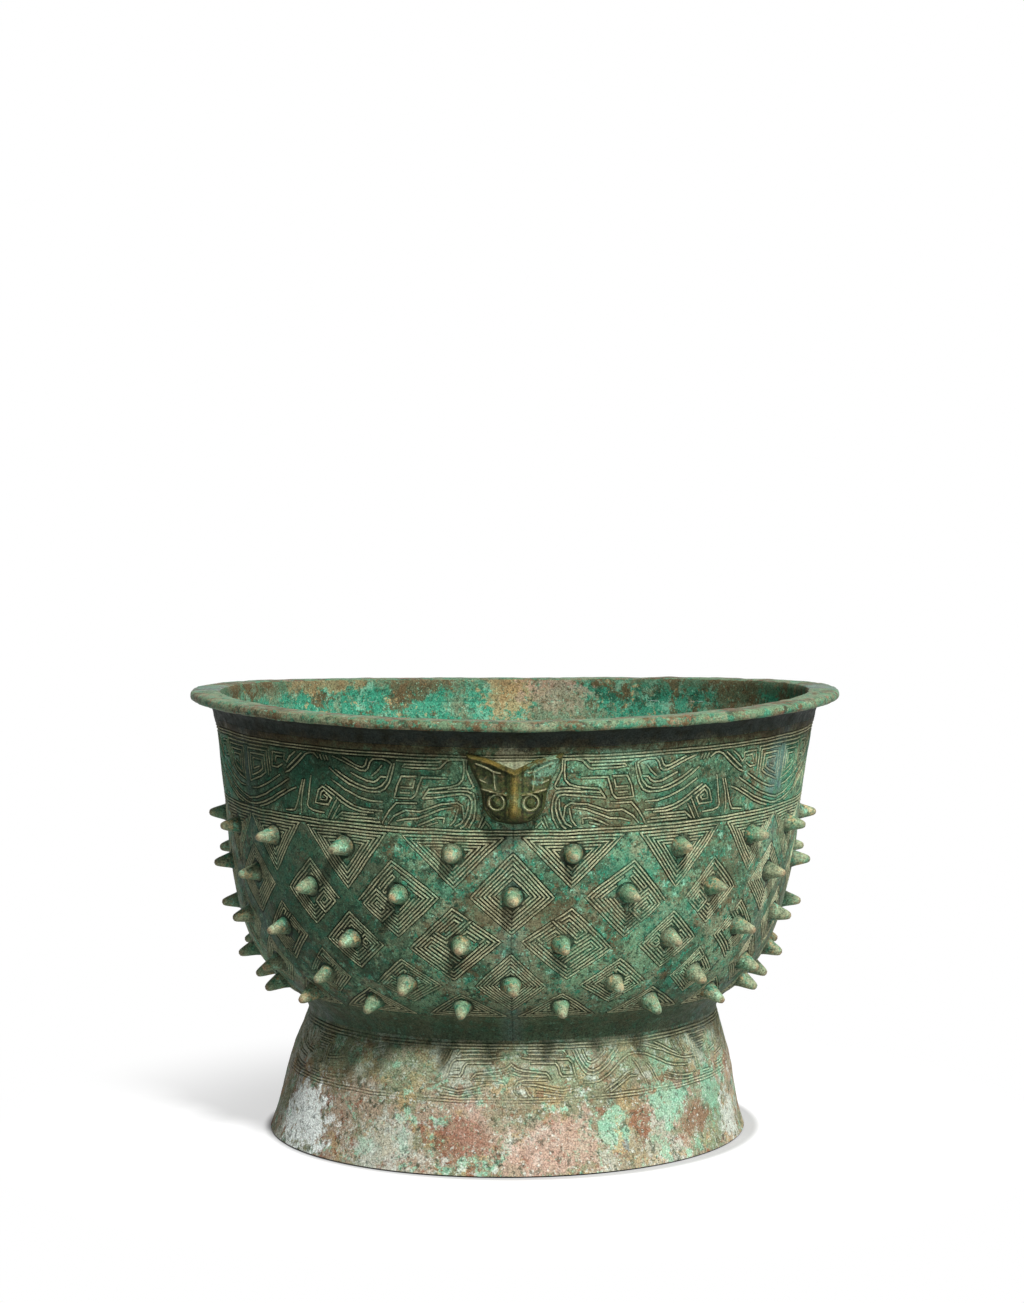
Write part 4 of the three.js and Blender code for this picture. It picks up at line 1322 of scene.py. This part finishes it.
def ragged_place(tree, place):
    """The place pushed about by clouds, so that what is laid by it gets ragged edges."""
    cloud = add_node(tree, "ShaderNodeTexNoise", {},
                     {"Vector": place, "Scale": 1 / (RAGGED_CLOUDS * MM), "Detail": 7.0, "Roughness": 0.78})
    middle = add_node(tree, "ShaderNodeVectorMath", {"operation": "SUBTRACT"},
                      {0: cloud.outputs["Color"], 1: (0.5, 0.5, 0.5)})
    pushed = add_node(tree, "ShaderNodeVectorMath", {"operation": "MULTIPLY_ADD"},
                      {0: middle.outputs[0], 1: (RAGGED_REACH * MM,) * 3, 2: place})
    return pushed.outputs[0]


def lay_colour(tree, surface, name, source, start, full, strength):
    """Lays a colour over a surface's colour, the more the nearer a source's value is to full from start."""
    share = add_node(tree, "ShaderNodeMapRange", {"interpolation_type": "SMOOTHSTEP"},
                     {"Value": source, "From Min": start, "From Max": full,
                      "To Min": 0.0, "To Max": strength})
    mixed = add_node(tree, "ShaderNodeMix", {"data_type": "RGBA"},
                     {0: share.outputs[0], 6: surface, 7: tint(name)})
    return mixed.outputs[2]


def lay_patches(tree, place, surface, patches):
    """Lays clouds of colour over a surface's colour.

    Each patch has its colour, size, seed, rarity from 0.4 (common) to 0.7 (rare), softness and strength."""
    for name, size, seed, rarity, softness, strength in patches:
        cloud = add_node(
            tree, "ShaderNodeTexNoise", {"noise_dimensions": "4D"},
            {"Vector": place, "W": seed, "Scale": 1 / (size * MM), "Detail": 6.0, "Roughness": 0.7},
        )
        limits = rarity - softness, rarity + softness
        surface = lay_colour(tree, surface, name, cloud.outputs[0], *limits, strength)
    return surface


def lay_stains(tree, place, ragged, surface, stains, facing=-1):
    """Lays single stains on the side that faces the viewer, or on the far side with facing 1.

    Each stain has its colour, distance right of the axis, height, half width, half height, softness
    and strength. A soft one breaks up into islands towards its edge, as a crust does."""
    cloud = add_node(tree, "ShaderNodeTexNoise", {},
                     {"Vector": place, "Scale": 1 / (CRUST_ISLANDS * MM), "Detail": 7.0, "Roughness": 0.72})
    islands = add_node(tree, "ShaderNodeMath", {"operation": "SUBTRACT"}, {0: cloud.outputs[0], 1: 0.5})
    for name, across, height, wide, tall, softness, strength in stains:
        radius = max(np.interp(height, FACE_HEIGHTS, FACE_RADII), abs(across))
        middle = (across * MM, facing * math.sqrt(radius**2 - across**2) * MM, height * MM)
        away = add_node(tree, "ShaderNodeVectorMath", {"operation": "SUBTRACT"}, {0: ragged, 1: middle})
        shares = add_node(tree, "ShaderNodeVectorMath", {"operation": "DIVIDE"},
                          {0: away.outputs[0], 1: (wide * MM, wide * MM, tall * MM)})
        reach = add_node(tree, "ShaderNodeVectorMath", {"operation": "LENGTH"}, {0: shares.outputs[0]})
        breaking, edge = 6 * softness, softness / 3
        broken = add_node(tree, "ShaderNodeMath", {"operation": "MULTIPLY_ADD"},
                          {0: islands.outputs[0], 1: breaking, 2: reach.outputs["Value"]})
        surface = lay_colour(tree, surface, name, broken.outputs[0], 1 + edge, 1 - edge, strength)
    return surface


def lay_bands(tree, ragged, surface, bands):
    """Lays bands round the vessel. Each has its colour, the heights where it starts and is full, and its
    strength."""
    parts = add_node(tree, "ShaderNodeSeparateXYZ", {}, {0: ragged})
    for name, start, full, strength in bands:
        surface = lay_colour(tree, surface, name, parts.outputs["Z"], start * MM, full * MM, strength)
    return surface


def lay_fields(tree, place, surface, fields):
    """Lays colours by what the mesh knows of its own form, such as its ridges and grooves.

    Each has the attribute, its values where the colour starts and is full, the colour, the strength
    and how much of that is worn away in patches."""
    cloud = add_node(tree, "ShaderNodeTexNoise", {},
                     {"Vector": place, "Scale": 1 / (RUBBED_CLOUDS * MM), "Detail": 5.0, "Roughness": 0.7})
    for field, start, full, name, strength, worn in fields:
        form = add_node(tree, "ShaderNodeAttribute", {"attribute_name": field}, {})
        share = add_node(tree, "ShaderNodeMapRange", {},
                         {"Value": form.outputs["Fac"], "From Min": start, "From Max": full,
                          "To Min": 0.0, "To Max": strength})
        wear = add_node(tree, "ShaderNodeMapRange", {"interpolation_type": "SMOOTHSTEP"},
                        {"Value": cloud.outputs[0], "From Min": 0.38, "From Max": 0.6,
                         "To Min": 1 - worn, "To Max": 1.0})
        both = add_node(tree, "ShaderNodeMath", {"operation": "MULTIPLY"},
                        {0: share.outputs[0], 1: wear.outputs[0]})
        mixed = add_node(tree, "ShaderNodeMix", {"data_type": "RGBA"},
                         {0: both.outputs[0], 6: surface, 7: tint(name)})
        surface = mixed.outputs[2]
    return surface


def bronze(name, base, patches, stains=(), bands=(), fields=(), specks=(), facing=-1, rough=(0.5, 0.8),
           polish=None, pitting=0.22, gloss=0.12):
    """Corroded bronze: clouds, stains and bands of patina, the form's own colours, specks, grain and pits.

    Patina is a porous mineral, so it reflects less than a smooth face of the same stuff: a gloss of 0.12
    where a polished one has 0.5."""
    material = bpy.data.materials.get(name) or bpy.data.materials.new(name)
    material.use_nodes = True
    tree = material.node_tree
    tree.nodes.clear()
    shader = add_node(tree, "ShaderNodeBsdfPrincipled", {}, {"Specular IOR Level": gloss})
    add_node(tree, "ShaderNodeOutputMaterial", {}, {"Surface": shader.outputs[0]})
    place = add_node(tree, "ShaderNodeTexCoord", {}, {}).outputs["Object"]
    ragged = ragged_place(tree, place)
    surface = lay_patches(tree, place, tint(base), patches)
    surface = lay_stains(tree, place, ragged, surface, stains, facing)
    surface = lay_patches(tree, place, surface, specks)
    surface = lay_bands(tree, ragged, surface, bands)
    surface = lay_fields(tree, place, surface, fields)

    grain = add_node(tree, "ShaderNodeTexNoise", {},
                     {"Vector": place, "Scale": 1 / (GRAIN * MM), "Detail": 2.0, "Roughness": 0.6})
    darkest, lightest = 0.48, 1.45
    light = add_node(tree, "ShaderNodeMapRange", {},
                     {"Value": grain.outputs[0], "From Min": 0.32, "From Max": 0.68,
                      "To Min": darkest, "To Max": lightest})
    speckled = add_node(tree, "ShaderNodeMix", {"data_type": "RGBA", "blend_type": "MULTIPLY"},
                        {0: 1.0, 6: surface, 7: light.outputs[0]})
    tree.links.new(speckled.outputs[2], shader.inputs["Base Color"])

    pits = add_node(tree, "ShaderNodeTexNoise", {},
                    {"Vector": place, "Scale": 1 / (PITS * MM), "Detail": 5.0, "Roughness": 0.7})
    dull = add_node(tree, "ShaderNodeMapRange", {},
                    {"Value": pits.outputs[0], "From Min": 0.35, "From Max": 0.65,
                     "To Min": rough[0], "To Max": rough[1]})
    tree.links.new(dull.outputs[0], shader.inputs["Roughness"])
    relief = add_node(tree, "ShaderNodeMath", {"operation": "MULTIPLY_ADD"},
                      {0: grain.outputs[0], 1: 0.35, 2: pits.outputs[0]})
    bump = add_node(tree, "ShaderNodeBump", {},
                    {"Strength": 0.8, "Distance": pitting * MM, "Height": relief.outputs[0]})
    tree.links.new(bump.outputs[0], shader.inputs["Normal"])
    if polish:
        field, start, full, share = polish
        form = add_node(tree, "ShaderNodeAttribute", {"attribute_name": field}, {})
        bare = add_node(tree, "ShaderNodeMapRange", {},
                        {"Value": form.outputs["Fac"], "From Min": start, "From Max": full,
                         "To Min": 0.0, "To Max": share})
        tree.links.new(bare.outputs[0], shader.inputs["Metallic"])
    return material


# The cast form's colours on every engraved wall: crests rubbed pale and lightened further as painted
# highlight, grooves darkened by dirt and by painted shade, and a thin line with a blue-grey bloom where
# the mould's sections met
CAST_LINES = [
    ("seam", 7, 1, "slate", 0.2, 0.8),
    ("ridge", 0.15, 0.9, "cream", 0.7, 0.6),
    ("groove", 0.25, 0.85, "groove", 0.88, 0.35),
    ("seam", 0.5, 0.2, "groove", 0.5, 0.5),
]


def neck_finish():
    """Section-moulded bronze under a damp-ground patina.

    It gives a dull, mottled grey-green with pale rubbed lines, partly painted highlight, and a brown-black
    band under the lip that is partly dark patina and partly painted shade."""
    return bronze(
        "bronze_cast_green_patina_neck", "field",
        [("deep", 34, 1.7, 0.5, 0.07, 0.65), ("olive", 16, 4.1, 0.54, 0.04, 0.5),
         ("teal", 15, 2.9, 0.57, 0.04, 0.5), ("brown", 9, 3.3, 0.57, 0.02, 0.7),
         ("teal", 3.4, 5.9, 0.58, 0.02, 0.75), ("mint", 3, 5.1, 0.61, 0.02, 0.6),
         ("deep", 2.2, 6.3, 0.54, 0.02, 0.8), ("brown", 1.4, 8.3, 0.59, 0.02, 0.75),
         ("mint", 1.1, 7.1, 0.61, 0.02, 0.8)],
        # The broad deep green on the left side is partly patina and partly painted shade, on the side away
        # from the lamps
        stains=[("deep", -75, 155, 62, 22, 0.4, 0.65), ("teal", -114, 150, 12, 30, 0.4, 0.45),
                ("deep", 66, 146, 22, 16, 0.6, 0.5), ("teal", 104, 146, 14, 24, 0.5, 0.35),
                ("mint", 42, 161, 12, 6, 0.5, 0.35), ("brown", 38, 141, 12, 8, 0.5, 0.5),
                ("slate", 101, 155, 7, 14, 0.5, 0.4), ("cream", 0, 158, 8, 5, 0.5, 0.65)],
        # The brown-black band under the lip is partly dark patina and partly painted shade below the lip
        bands=[("brown", 158, 165, 0.85), ("groove", 160, 167, 0.92)],
        fields=CAST_LINES, gloss=0.06,
    )


def inside_finish():
    """The inside of the bowl: thick malachite over red cuprite, bright and chalky, never rubbed."""
    return bronze(
        "bronze_cast_malachite_inside", "malachite",
        [("teal", 24, 1.1, 0.48, 0.04, 0.6), ("deep", 9, 2.3, 0.56, 0.02, 0.65),
         ("olive", 20, 3.1, 0.55, 0.04, 0.6), ("brown", 15, 3.7, 0.54, 0.02, 0.85),
         ("mint", 7, 4.9, 0.57, 0.02, 0.5), ("tan", 6, 5.1, 0.61, 0.02, 0.7)],
        stains=[("tan", 0, 167, 12, 14, 0.7, 0.75), ("rose", 20, 168, 15, 10, 0.7, 0.6),
                ("olive", 24, 158, 18, 10, 0.6, 0.6), ("brown", 99, 167, 16, 14, 0.5, 0.75),
                ("brown", -42, 171, 14, 6, 0.6, 0.8), ("tan", -84, 173, 20, 4, 0.6, 0.6)],
        bands=[("brown", 168, 174, 0.55)],
        specks=[("deep", 2.0, 6.7, 0.57, 0.02, 0.65), ("brown", 2.6, 6.1, 0.6, 0.02, 0.7),
                ("mint", 1.4, 7.3, 0.6, 0.02, 0.6), ("tan", 1.2, 8.7, 0.62, 0.02, 0.7)],
        facing=1, rough=(0.7, 0.95), pitting=0.3,
    )


def belly_finishes():
    """The same casting and patina lower down, with more brown cuprite and teal among the green."""
    outside = bronze(
        "bronze_cast_green_patina_belly", "field",
        [("deep", 30, 11.7, 0.51, 0.05, 0.7), ("olive", 18, 10.1, 0.5, 0.04, 0.6),
         ("teal", 13, 12.9, 0.58, 0.03, 0.6), ("brown", 8, 13.3, 0.57, 0.02, 0.7),
         ("teal", 3.2, 15.9, 0.57, 0.02, 0.8), ("mint", 3, 15.1, 0.6, 0.02, 0.7),
         ("deep", 2.2, 16.3, 0.56, 0.02, 0.85), ("brown", 1.3, 18.3, 0.59, 0.02, 0.75),
         ("mint", 1.0, 19.1, 0.61, 0.02, 0.8)],
        stains=[("brown", 4, 101, 26, 6, 0.7, 0.55), ("teal", 44, 116, 12, 7, 0.7, 0.4),
                ("teal", 58, 98, 11, 10, 0.7, 0.35), ("brown", 78, 112, 14, 10, 0.7, 0.3),
                # The broad deep stain on the left side is partly patina and partly painted shade
                ("teal", -92, 118, 14, 18, 0.7, 0.3), ("deep", -78, 104, 50, 34, 0.5, 0.65),
                ("deep", 100, 84, 18, 34, 0.5, 0.4)],
        # Darker towards the waist: partly patina and partly painted shade under the belly's bulge
        bands=[("brown", 68, 56, 0.4), ("deep", 72, 54, 0.65)],
        fields=CAST_LINES,
    )
    underside = bronze(
        "bronze_cast_bare_underside", "olive",
        [("tan", 15, 21.3, 0.52, 0.05, 0.7), ("crust", 10, 22.9, 0.57, 0.04, 0.7),
         ("brown", 7, 23.3, 0.56, 0.04, 0.7), ("mint", 4, 24.9, 0.61, 0.03, 0.6),
         ("deep", 2.2, 25.3, 0.58, 0.05, 0.5)],
        rough=(0.7, 0.95), pitting=0.35,
    )
    return [outside, inside_finish(), underside]


def foot_finishes():
    """The foot ring stood in the soil, so its patina is thicker and crusted.

    It is olive-grey above, with worn lines, and white-grey, pink and red-brown in blotches towards the
    edge it stands on."""
    outside = bronze(
        "bronze_cast_crusted_foot", "olive",
        [("rose", 30, 32.9, 0.5, 0.04, 0.5), ("crust", 22, 31.7, 0.56, 0.03, 0.5),
         ("tan", 12, 33.3, 0.55, 0.02, 0.6), ("mint", 9, 34.1, 0.57, 0.02, 0.7),
         ("rust", 7, 35.9, 0.57, 0.02, 0.75), ("crust", 4, 36.3, 0.58, 0.02, 0.7),
         ("deep", 3.5, 30.3, 0.59, 0.02, 0.7)],
        stains=[("brown", -68, 33, 14, 9, 0.7, 0.5), ("frost", -80, 11, 16, 13, 0.9, 1.0),
                ("crust", -48, 8, 15, 10, 0.8, 0.5), ("olive", 40, 12, 26, 14, 0.8, 0.5),
                ("rose", 16, 11, 18, 12, 0.8, 0.7), ("rose", -14, 18, 11, 10, 0.7, 0.6),
                ("rust", -20, 15, 10, 8, 0.8, 0.6), ("olive", 0, 24, 12, 7, 0.8, 0.6),
                ("brown", 54, 30, 26, 8, 0.8, 0.4), ("field", 76, 16, 18, 14, 0.8, 0.5),
                ("mint", 38, 16, 7, 8, 0.5, 0.6), ("tan", 41, 12, 2.5, 7, 0.4, 0.7),
                ("slate", 43, 12, 1.5, 8, 0.4, 0.7), ("rust", 50, 18, 6, 5, 0.5, 0.7),
                ("mint", 60, 22, 11, 8, 0.5, 0.6), ("rust", 71, 15, 9, 6, 0.6, 0.6),
                ("mint", 78, 24, 9, 8, 0.5, 0.5), ("crust", 87, 9, 8, 10, 0.8, 0.8)],
        # The deep green at the top, under the belly's overhang, is partly patina and partly painted shade
        bands=[("field", 26, 38, 0.35), ("deep", 41, 49, 0.65)],
        # Pale crests are partly rubbed and partly painted highlight, and dark grooves partly dirt and partly
        # painted shade
        fields=[("ridge", 0.15, 0.9, "cream", 0.45, 0.6), ("groove", 0.25, 0.85, "groove", 0.65, 0.5)],
        specks=[("deep", 2.4, 37.7, 0.58, 0.02, 0.6), ("crust", 1.5, 38.3, 0.6, 0.02, 0.7),
                ("rust", 1.8, 39.1, 0.61, 0.02, 0.6), ("mint", 1.2, 40.1, 0.62, 0.02, 0.6)],
        rough=(0.6, 0.9), pitting=0.3,
    )
    hollow = bronze(
        "bronze_cast_foot_hollow", "olive",
        [("tan", 14, 41.3, 0.52, 0.05, 0.7), ("brown", 9, 42.9, 0.55, 0.04, 0.7),
         ("crust", 6, 43.3, 0.58, 0.04, 0.7), ("mint", 4, 44.9, 0.61, 0.03, 0.6)],
        rough=(0.7, 0.95), pitting=0.35,
    )
    # The edge it stands on is painted near-black as a painted contact shadow, so it reads as a thin dark line
    sole = bronze(
        "bronze_cast_dirty_sole", "groove",
        [("brown", 6, 46.3, 0.58, 0.04, 0.5), ("tan", 2, 47.7, 0.64, 0.03, 0.5)],
        rough=(0.8, 0.95), gloss=0.03,
    )
    return [outside, hollow, sole]


def lip_finish():
    """The lip is where the vessel is held: thin tan and grey-green patina, worn nearly smooth."""
    return bronze(
        "bronze_cast_worn_lip", "brown",
        [("field", 20, 51.7, 0.48, 0.04, 0.8), ("olive", 11, 52.9, 0.53, 0.03, 0.6),
         ("rust", 8, 50.3, 0.57, 0.02, 0.5), ("teal", 5, 54.1, 0.57, 0.02, 0.7),
         ("deep", 3.5, 56.3, 0.57, 0.02, 0.7)],
        specks=[("teal", 2, 58.3, 0.59, 0.02, 0.7), ("mint", 1.4, 57.7, 0.61, 0.02, 0.6)],
        stains=[("slate", -124, 172, 16, 8, 0.5, 0.5), ("slate", 124, 172, 16, 8, 0.5, 0.5)],
        rough=(0.45, 0.75), pitting=0.2,
    )


def boss_finish():
    """The bosses stand proud and were rubbed: pale mint and tan, with bare brown at their points."""
    return bronze(
        "bronze_cast_rubbed_bosses", "field",
        [("olive", 8, 62.9, 0.48, 0.04, 0.7), ("mint", 5, 61.7, 0.58, 0.02, 0.65),
         ("teal", 4, 63.3, 0.57, 0.02, 0.7), ("tan", 5, 64.1, 0.57, 0.02, 0.7)],
        fields=[("tip", 0.4, 0.85, "cream", 0.5, 0.8), ("tip", 0.8, 1.0, "rust", 0.6, 0.7),
                # The dark at each root, where the boss meets the wall, is painted shade
                ("tip", 0.25, 0.04, "groove", 0.6, 0.3)],
        specks=[("deep", 1.6, 65.9, 0.57, 0.02, 0.7), ("mint", 1.2, 66.1, 0.6, 0.02, 0.6)],
        rough=(0.45, 0.7), pitting=0.2,
    )


def mask_finish():
    """The masks are the thickest relief, rubbed by every hand: olive-brown metal with a soft golden sheen."""
    return bronze(
        "bronze_cast_rubbed_mask", "moss",
        [("field", 8, 71.7, 0.6, 0.04, 0.4), ("brown", 6, 72.9, 0.57, 0.04, 0.5),
         ("mint", 4, 73.3, 0.63, 0.02, 0.5)],
        # The dark stain on each mask's left half is painted shade, on the side away from the lamps
        stains=[("mint", 11, 156, 6, 5, 0.6, 0.45), ("groove", -9, 152, 8, 8, 0.7, 0.5)],
        # The dark laid by the sunk field in the hollows and under the chin is painted shade
        fields=[("rubbed", 0.35, 0.95, "gold", 0.7, 0.75), ("sunk", 0.3, 0.9, "groove", 0.9, 0.1),
                ("sunk", -0.3, -0.9, "cream", 0.75, 0.4)],
        specks=[("brown", 1.5, 74.1, 0.57, 0.02, 0.6), ("groove", 2.4, 75.1, 0.58, 0.02, 0.7)],
        rough=(0.42, 0.65), polish=("rubbed", 0.3, 1.0, 0.2), pitting=0.2, gloss=0.07,
    )


def chaplet_finish():
    """Chaplets are squares cut from hammered sheet bronze: browner and smoother than the cast floor."""
    return bronze(
        "bronze_hammered_sheet_chaplet", "brown",
        [("rust", 6, 81.7, 0.52, 0.05, 0.6), ("tan", 4, 82.9, 0.56, 0.04, 0.6),
         ("mint", 2, 83.3, 0.6, 0.04, 0.6)],
        rough=(0.5, 0.8), pitting=0.2,
    )


def add_floor():
    """A white floor that shows white and still takes the vessel's soft shadow near it."""
    bpy.ops.object.select_all(action="DESELECT")
    bpy.ops.mesh.primitive_plane_add(size=STAGE_METRES, location=(0, 0, 0))
    floor = bpy.context.object
    floor.name = "floor"
    material = bpy.data.materials.new("paper_matt_white_floor")
    material.use_nodes = True
    tree = material.node_tree
    tree.nodes.clear()
    seen = add_node(tree, "ShaderNodeMath", {"operation": "MAXIMUM"}, dict(enumerate(shown_rays(tree))))
    place = add_node(tree, "ShaderNodeTexCoord", {}, {})
    away = add_node(tree, "ShaderNodeVectorMath", {"operation": "LENGTH"}, {0: place.outputs["Object"]})
    amounts = []
    # Left without glow in a ring round the foot, the floor shows a painted contact shadow there
    for (start, full), most in ((PAINTED_CONTACT_SHADOW, STAGE_GLOW), (PLAIN_WHITE, 1.0)):
        clear = add_node(tree, "ShaderNodeMapRange", {"interpolation_type": "SMOOTHSTEP"},
                         {"Value": away.outputs["Value"], "From Min": start * MM, "From Max": full * MM,
                          "To Max": most})
        amount = add_node(tree, "ShaderNodeMath", {"operation": "MULTIPLY"},
                          {0: clear.outputs[0], 1: seen.outputs[0]})
        amounts.append(amount.outputs[0])
    matt = add_node(tree, "ShaderNodeBsdfDiffuse", {}, {"Color": (STAGE_GREY, STAGE_GREY, STAGE_GREY, 1)})
    glow = add_node(tree, "ShaderNodeEmission", {}, {"Strength": amounts[0]})
    near = add_node(tree, "ShaderNodeAddShader", {}, {0: matt.outputs[0], 1: glow.outputs[0]})
    far = add_node(tree, "ShaderNodeEmission", {}, {"Strength": 1.0})
    mixed = add_node(tree, "ShaderNodeMixShader", {}, {0: amounts[1], 1: near.outputs[0], 2: far.outputs[0]})
    add_node(tree, "ShaderNodeOutputMaterial", {}, {"Surface": mixed.outputs[0]})
    floor.data.materials.append(material)


def shown_rays(tree):
    """Whether a ray shows the background: to the camera, or by way of metal."""
    path = add_node(tree, "ShaderNodeLightPath", {}, {})
    return path.outputs["Is Camera Ray"], path.outputs["Is Glossy Ray"]


def add_world():
    """A white room that shows white and lights the vessel softly."""
    world = bpy.data.worlds.new("studio")
    bpy.context.scene.world = world
    world.use_nodes = True
    tree = world.node_tree
    tree.nodes.clear()
    seen = add_node(tree, "ShaderNodeMath", {"operation": "MAXIMUM"}, dict(enumerate(shown_rays(tree))))
    level = add_node(tree, "ShaderNodeMapRange", {},
                     {"Value": seen.outputs[0], "To Min": ROOM_LIGHT, "To Max": 1.0})
    back = add_node(tree, "ShaderNodeBackground", {}, {"Color": (1, 1, 1, 1), "Strength": level.outputs[0]})
    add_node(tree, "ShaderNodeOutputWorld", {}, {"Surface": back.outputs[0]})


def add_lamp(name, place, size, power):
    """A round soft lamp that points at the vessel."""
    bpy.ops.object.light_add(type="AREA", location=place)
    lamp = bpy.context.object
    lamp.name = name
    lamp.data.shape = "DISK"
    lamp.data.size = size
    lamp.data.energy = power
    aim = Vector((0, 0, LAMP_AIM * MM)) - Vector(place)
    lamp.rotation_euler = aim.to_track_quat("-Z", "Y").to_euler()


def add_camera():
    """A long lens a little above the rim, looking slightly down."""
    near, far = CLIP_METRES
    bpy.ops.object.camera_add(location=CAMERA_PLACE)
    camera = bpy.context.object
    camera.rotation_euler = (math.pi / 2 - CAMERA_TILT, 0, 0)
    camera.rotation_euler.rotate_axis("Z", CAMERA_ROLL)
    camera.data.sensor_width = SENSOR
    camera.data.lens = LENS
    camera.data.clip_start = near
    camera.data.clip_end = far
    bpy.context.scene.camera = camera


class GUI_VESSEL_OT_neck(bpy.types.Operator):
    """Cast the neck with its frieze of dragons"""

    bl_idname = "gui_vessel.neck"
    bl_label = "Neck"

    def execute(self, context):
        finish_piece(neck(), [neck_finish(), inside_finish()], 35, "bowl_patina", "bowl")
        return {"FINISHED"}


class GUI_VESSEL_OT_belly(bpy.types.Operator):
    """Cast the belly with its lozenges, and the floor"""

    bl_idname = "gui_vessel.belly"
    bl_label = "Belly"

    def execute(self, context):
        finish_piece(belly(), belly_finishes(), 35, "bowl_patina", "bowl")
        return {"FINISHED"}


class GUI_VESSEL_OT_foot(bpy.types.Operator):
    """Cast the foot ring with its worn frieze"""

    bl_idname = "gui_vessel.foot"
    bl_label = "Foot Ring"

    def execute(self, context):
        finish_piece(foot(), foot_finishes(), 35, "foot_patina", "foot_ring")
        return {"FINISHED"}


class GUI_VESSEL_OT_lip(bpy.types.Operator):
    """Turn the flat lip round the mouth"""

    bl_idname = "gui_vessel.lip"
    bl_label = "Lip"

    def execute(self, context):
        finish_piece(lip(), [lip_finish(), inside_finish(), neck_finish()], 35, "lip_patina", "rim")
        return {"FINISHED"}


class GUI_VESSEL_OT_bosses(bpy.types.Operator):
    """Set five rows of pointed bosses on the belly"""

    bl_idname = "gui_vessel.bosses"
    bl_label = "Bosses"

    def execute(self, context):
        pattern = boss_pattern()
        finish = boss_finish()
        chance = random.Random(BOSS_SEED)
        for number, spots in enumerate(BOSS_ROWS, 1):
            finish_piece(boss_row(number, spots, pattern, chance), [finish], 40, "bowl_patina", "bowl")
        bpy.data.objects.remove(pattern)
        return {"FINISHED"}


class GUI_VESSEL_OT_masks(bpy.types.Operator):
    """Set the three animal masks on the neck"""

    bl_idname = "gui_vessel.masks"
    bl_label = "Masks"

    def execute(self, context):
        finish = mask_finish()
        for number, node in enumerate(MASK_NODES):
            relief = mask(node + "_relief", number * 2 * SECTOR_ANGLE)
            finish_piece(relief, [finish], 40, "mask_bronze", node)
        return {"FINISHED"}


class GUI_VESSEL_OT_chaplets(bpy.types.Operator):
    """Give the chaplets in the floor their finish"""

    bl_idname = "gui_vessel.chaplets"
    bl_label = "Chaplets"

    def execute(self, context):
        finish = chaplet_finish()
        for number in range(1, CHAPLETS + 1):
            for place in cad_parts[f"chaplet_{number}"].material_slots:
                place.material = finish
        return {"FINISHED"}


class GUI_VESSEL_OT_stage(bpy.types.Operator):
    """Set up the white floor, the lamps and the camera"""

    bl_idname = "gui_vessel.stage"
    bl_label = "Stage"

    def execute(self, context):
        add_floor()
        add_world()
        for lamp in LAMPS:
            add_lamp(*lamp)
        add_camera()
        context.scene.view_settings.view_transform = "Standard"
        return {"FINISHED"}


STEPS = (
    GUI_VESSEL_OT_neck, GUI_VESSEL_OT_belly, GUI_VESSEL_OT_foot, GUI_VESSEL_OT_lip, GUI_VESSEL_OT_bosses,
    GUI_VESSEL_OT_masks, GUI_VESSEL_OT_chaplets, GUI_VESSEL_OT_stage,
)


class GUI_VESSEL_PT_sidebar(bpy.types.Panel):
    """Sizes, colours and the steps that make the vessel"""

    bl_idname = "GUI_VESSEL_PT_sidebar"
    bl_label = "Bronze Gui"
    bl_space_type = "VIEW_3D"
    bl_region_type = "UI"
    bl_category = "Bronze Gui"

    def draw(self, context):
        for group in (context.scene.gui_vessel_sizes, context.scene.gui_vessel_colours):
            box = self.layout.box()
            for name in type(group).__annotations__:
                box.prop(group, name)
        for step in STEPS:
            self.layout.operator(step.bl_idname)


CLASSES = (VesselColours, VesselSizes) + STEPS + (GUI_VESSEL_PT_sidebar,)


def register():
    for kind in CLASSES:
        bpy.utils.register_class(kind)
    bpy.types.Scene.gui_vessel_colours = bpy.props.PointerProperty(type=VesselColours)
    bpy.types.Scene.gui_vessel_sizes = bpy.props.PointerProperty(type=VesselSizes)


def unregister():
    del bpy.types.Scene.gui_vessel_sizes
    del bpy.types.Scene.gui_vessel_colours
    for kind in reversed(CLASSES):
        bpy.utils.unregister_class(kind)


def main():
    register()
    for name in ("Cube", "Light", "Camera"):
        if name in bpy.data.objects:
            bpy.data.objects.remove(bpy.data.objects[name])
    bpy.ops.gui_vessel.neck()
    bpy.ops.gui_vessel.belly()
    bpy.ops.gui_vessel.foot()
    bpy.ops.gui_vessel.lip()
    bpy.ops.gui_vessel.bosses()
    bpy.ops.gui_vessel.masks()
    bpy.ops.gui_vessel.chaplets()
    bpy.ops.gui_vessel.stage()


if __name__ == "__main__":
    main()
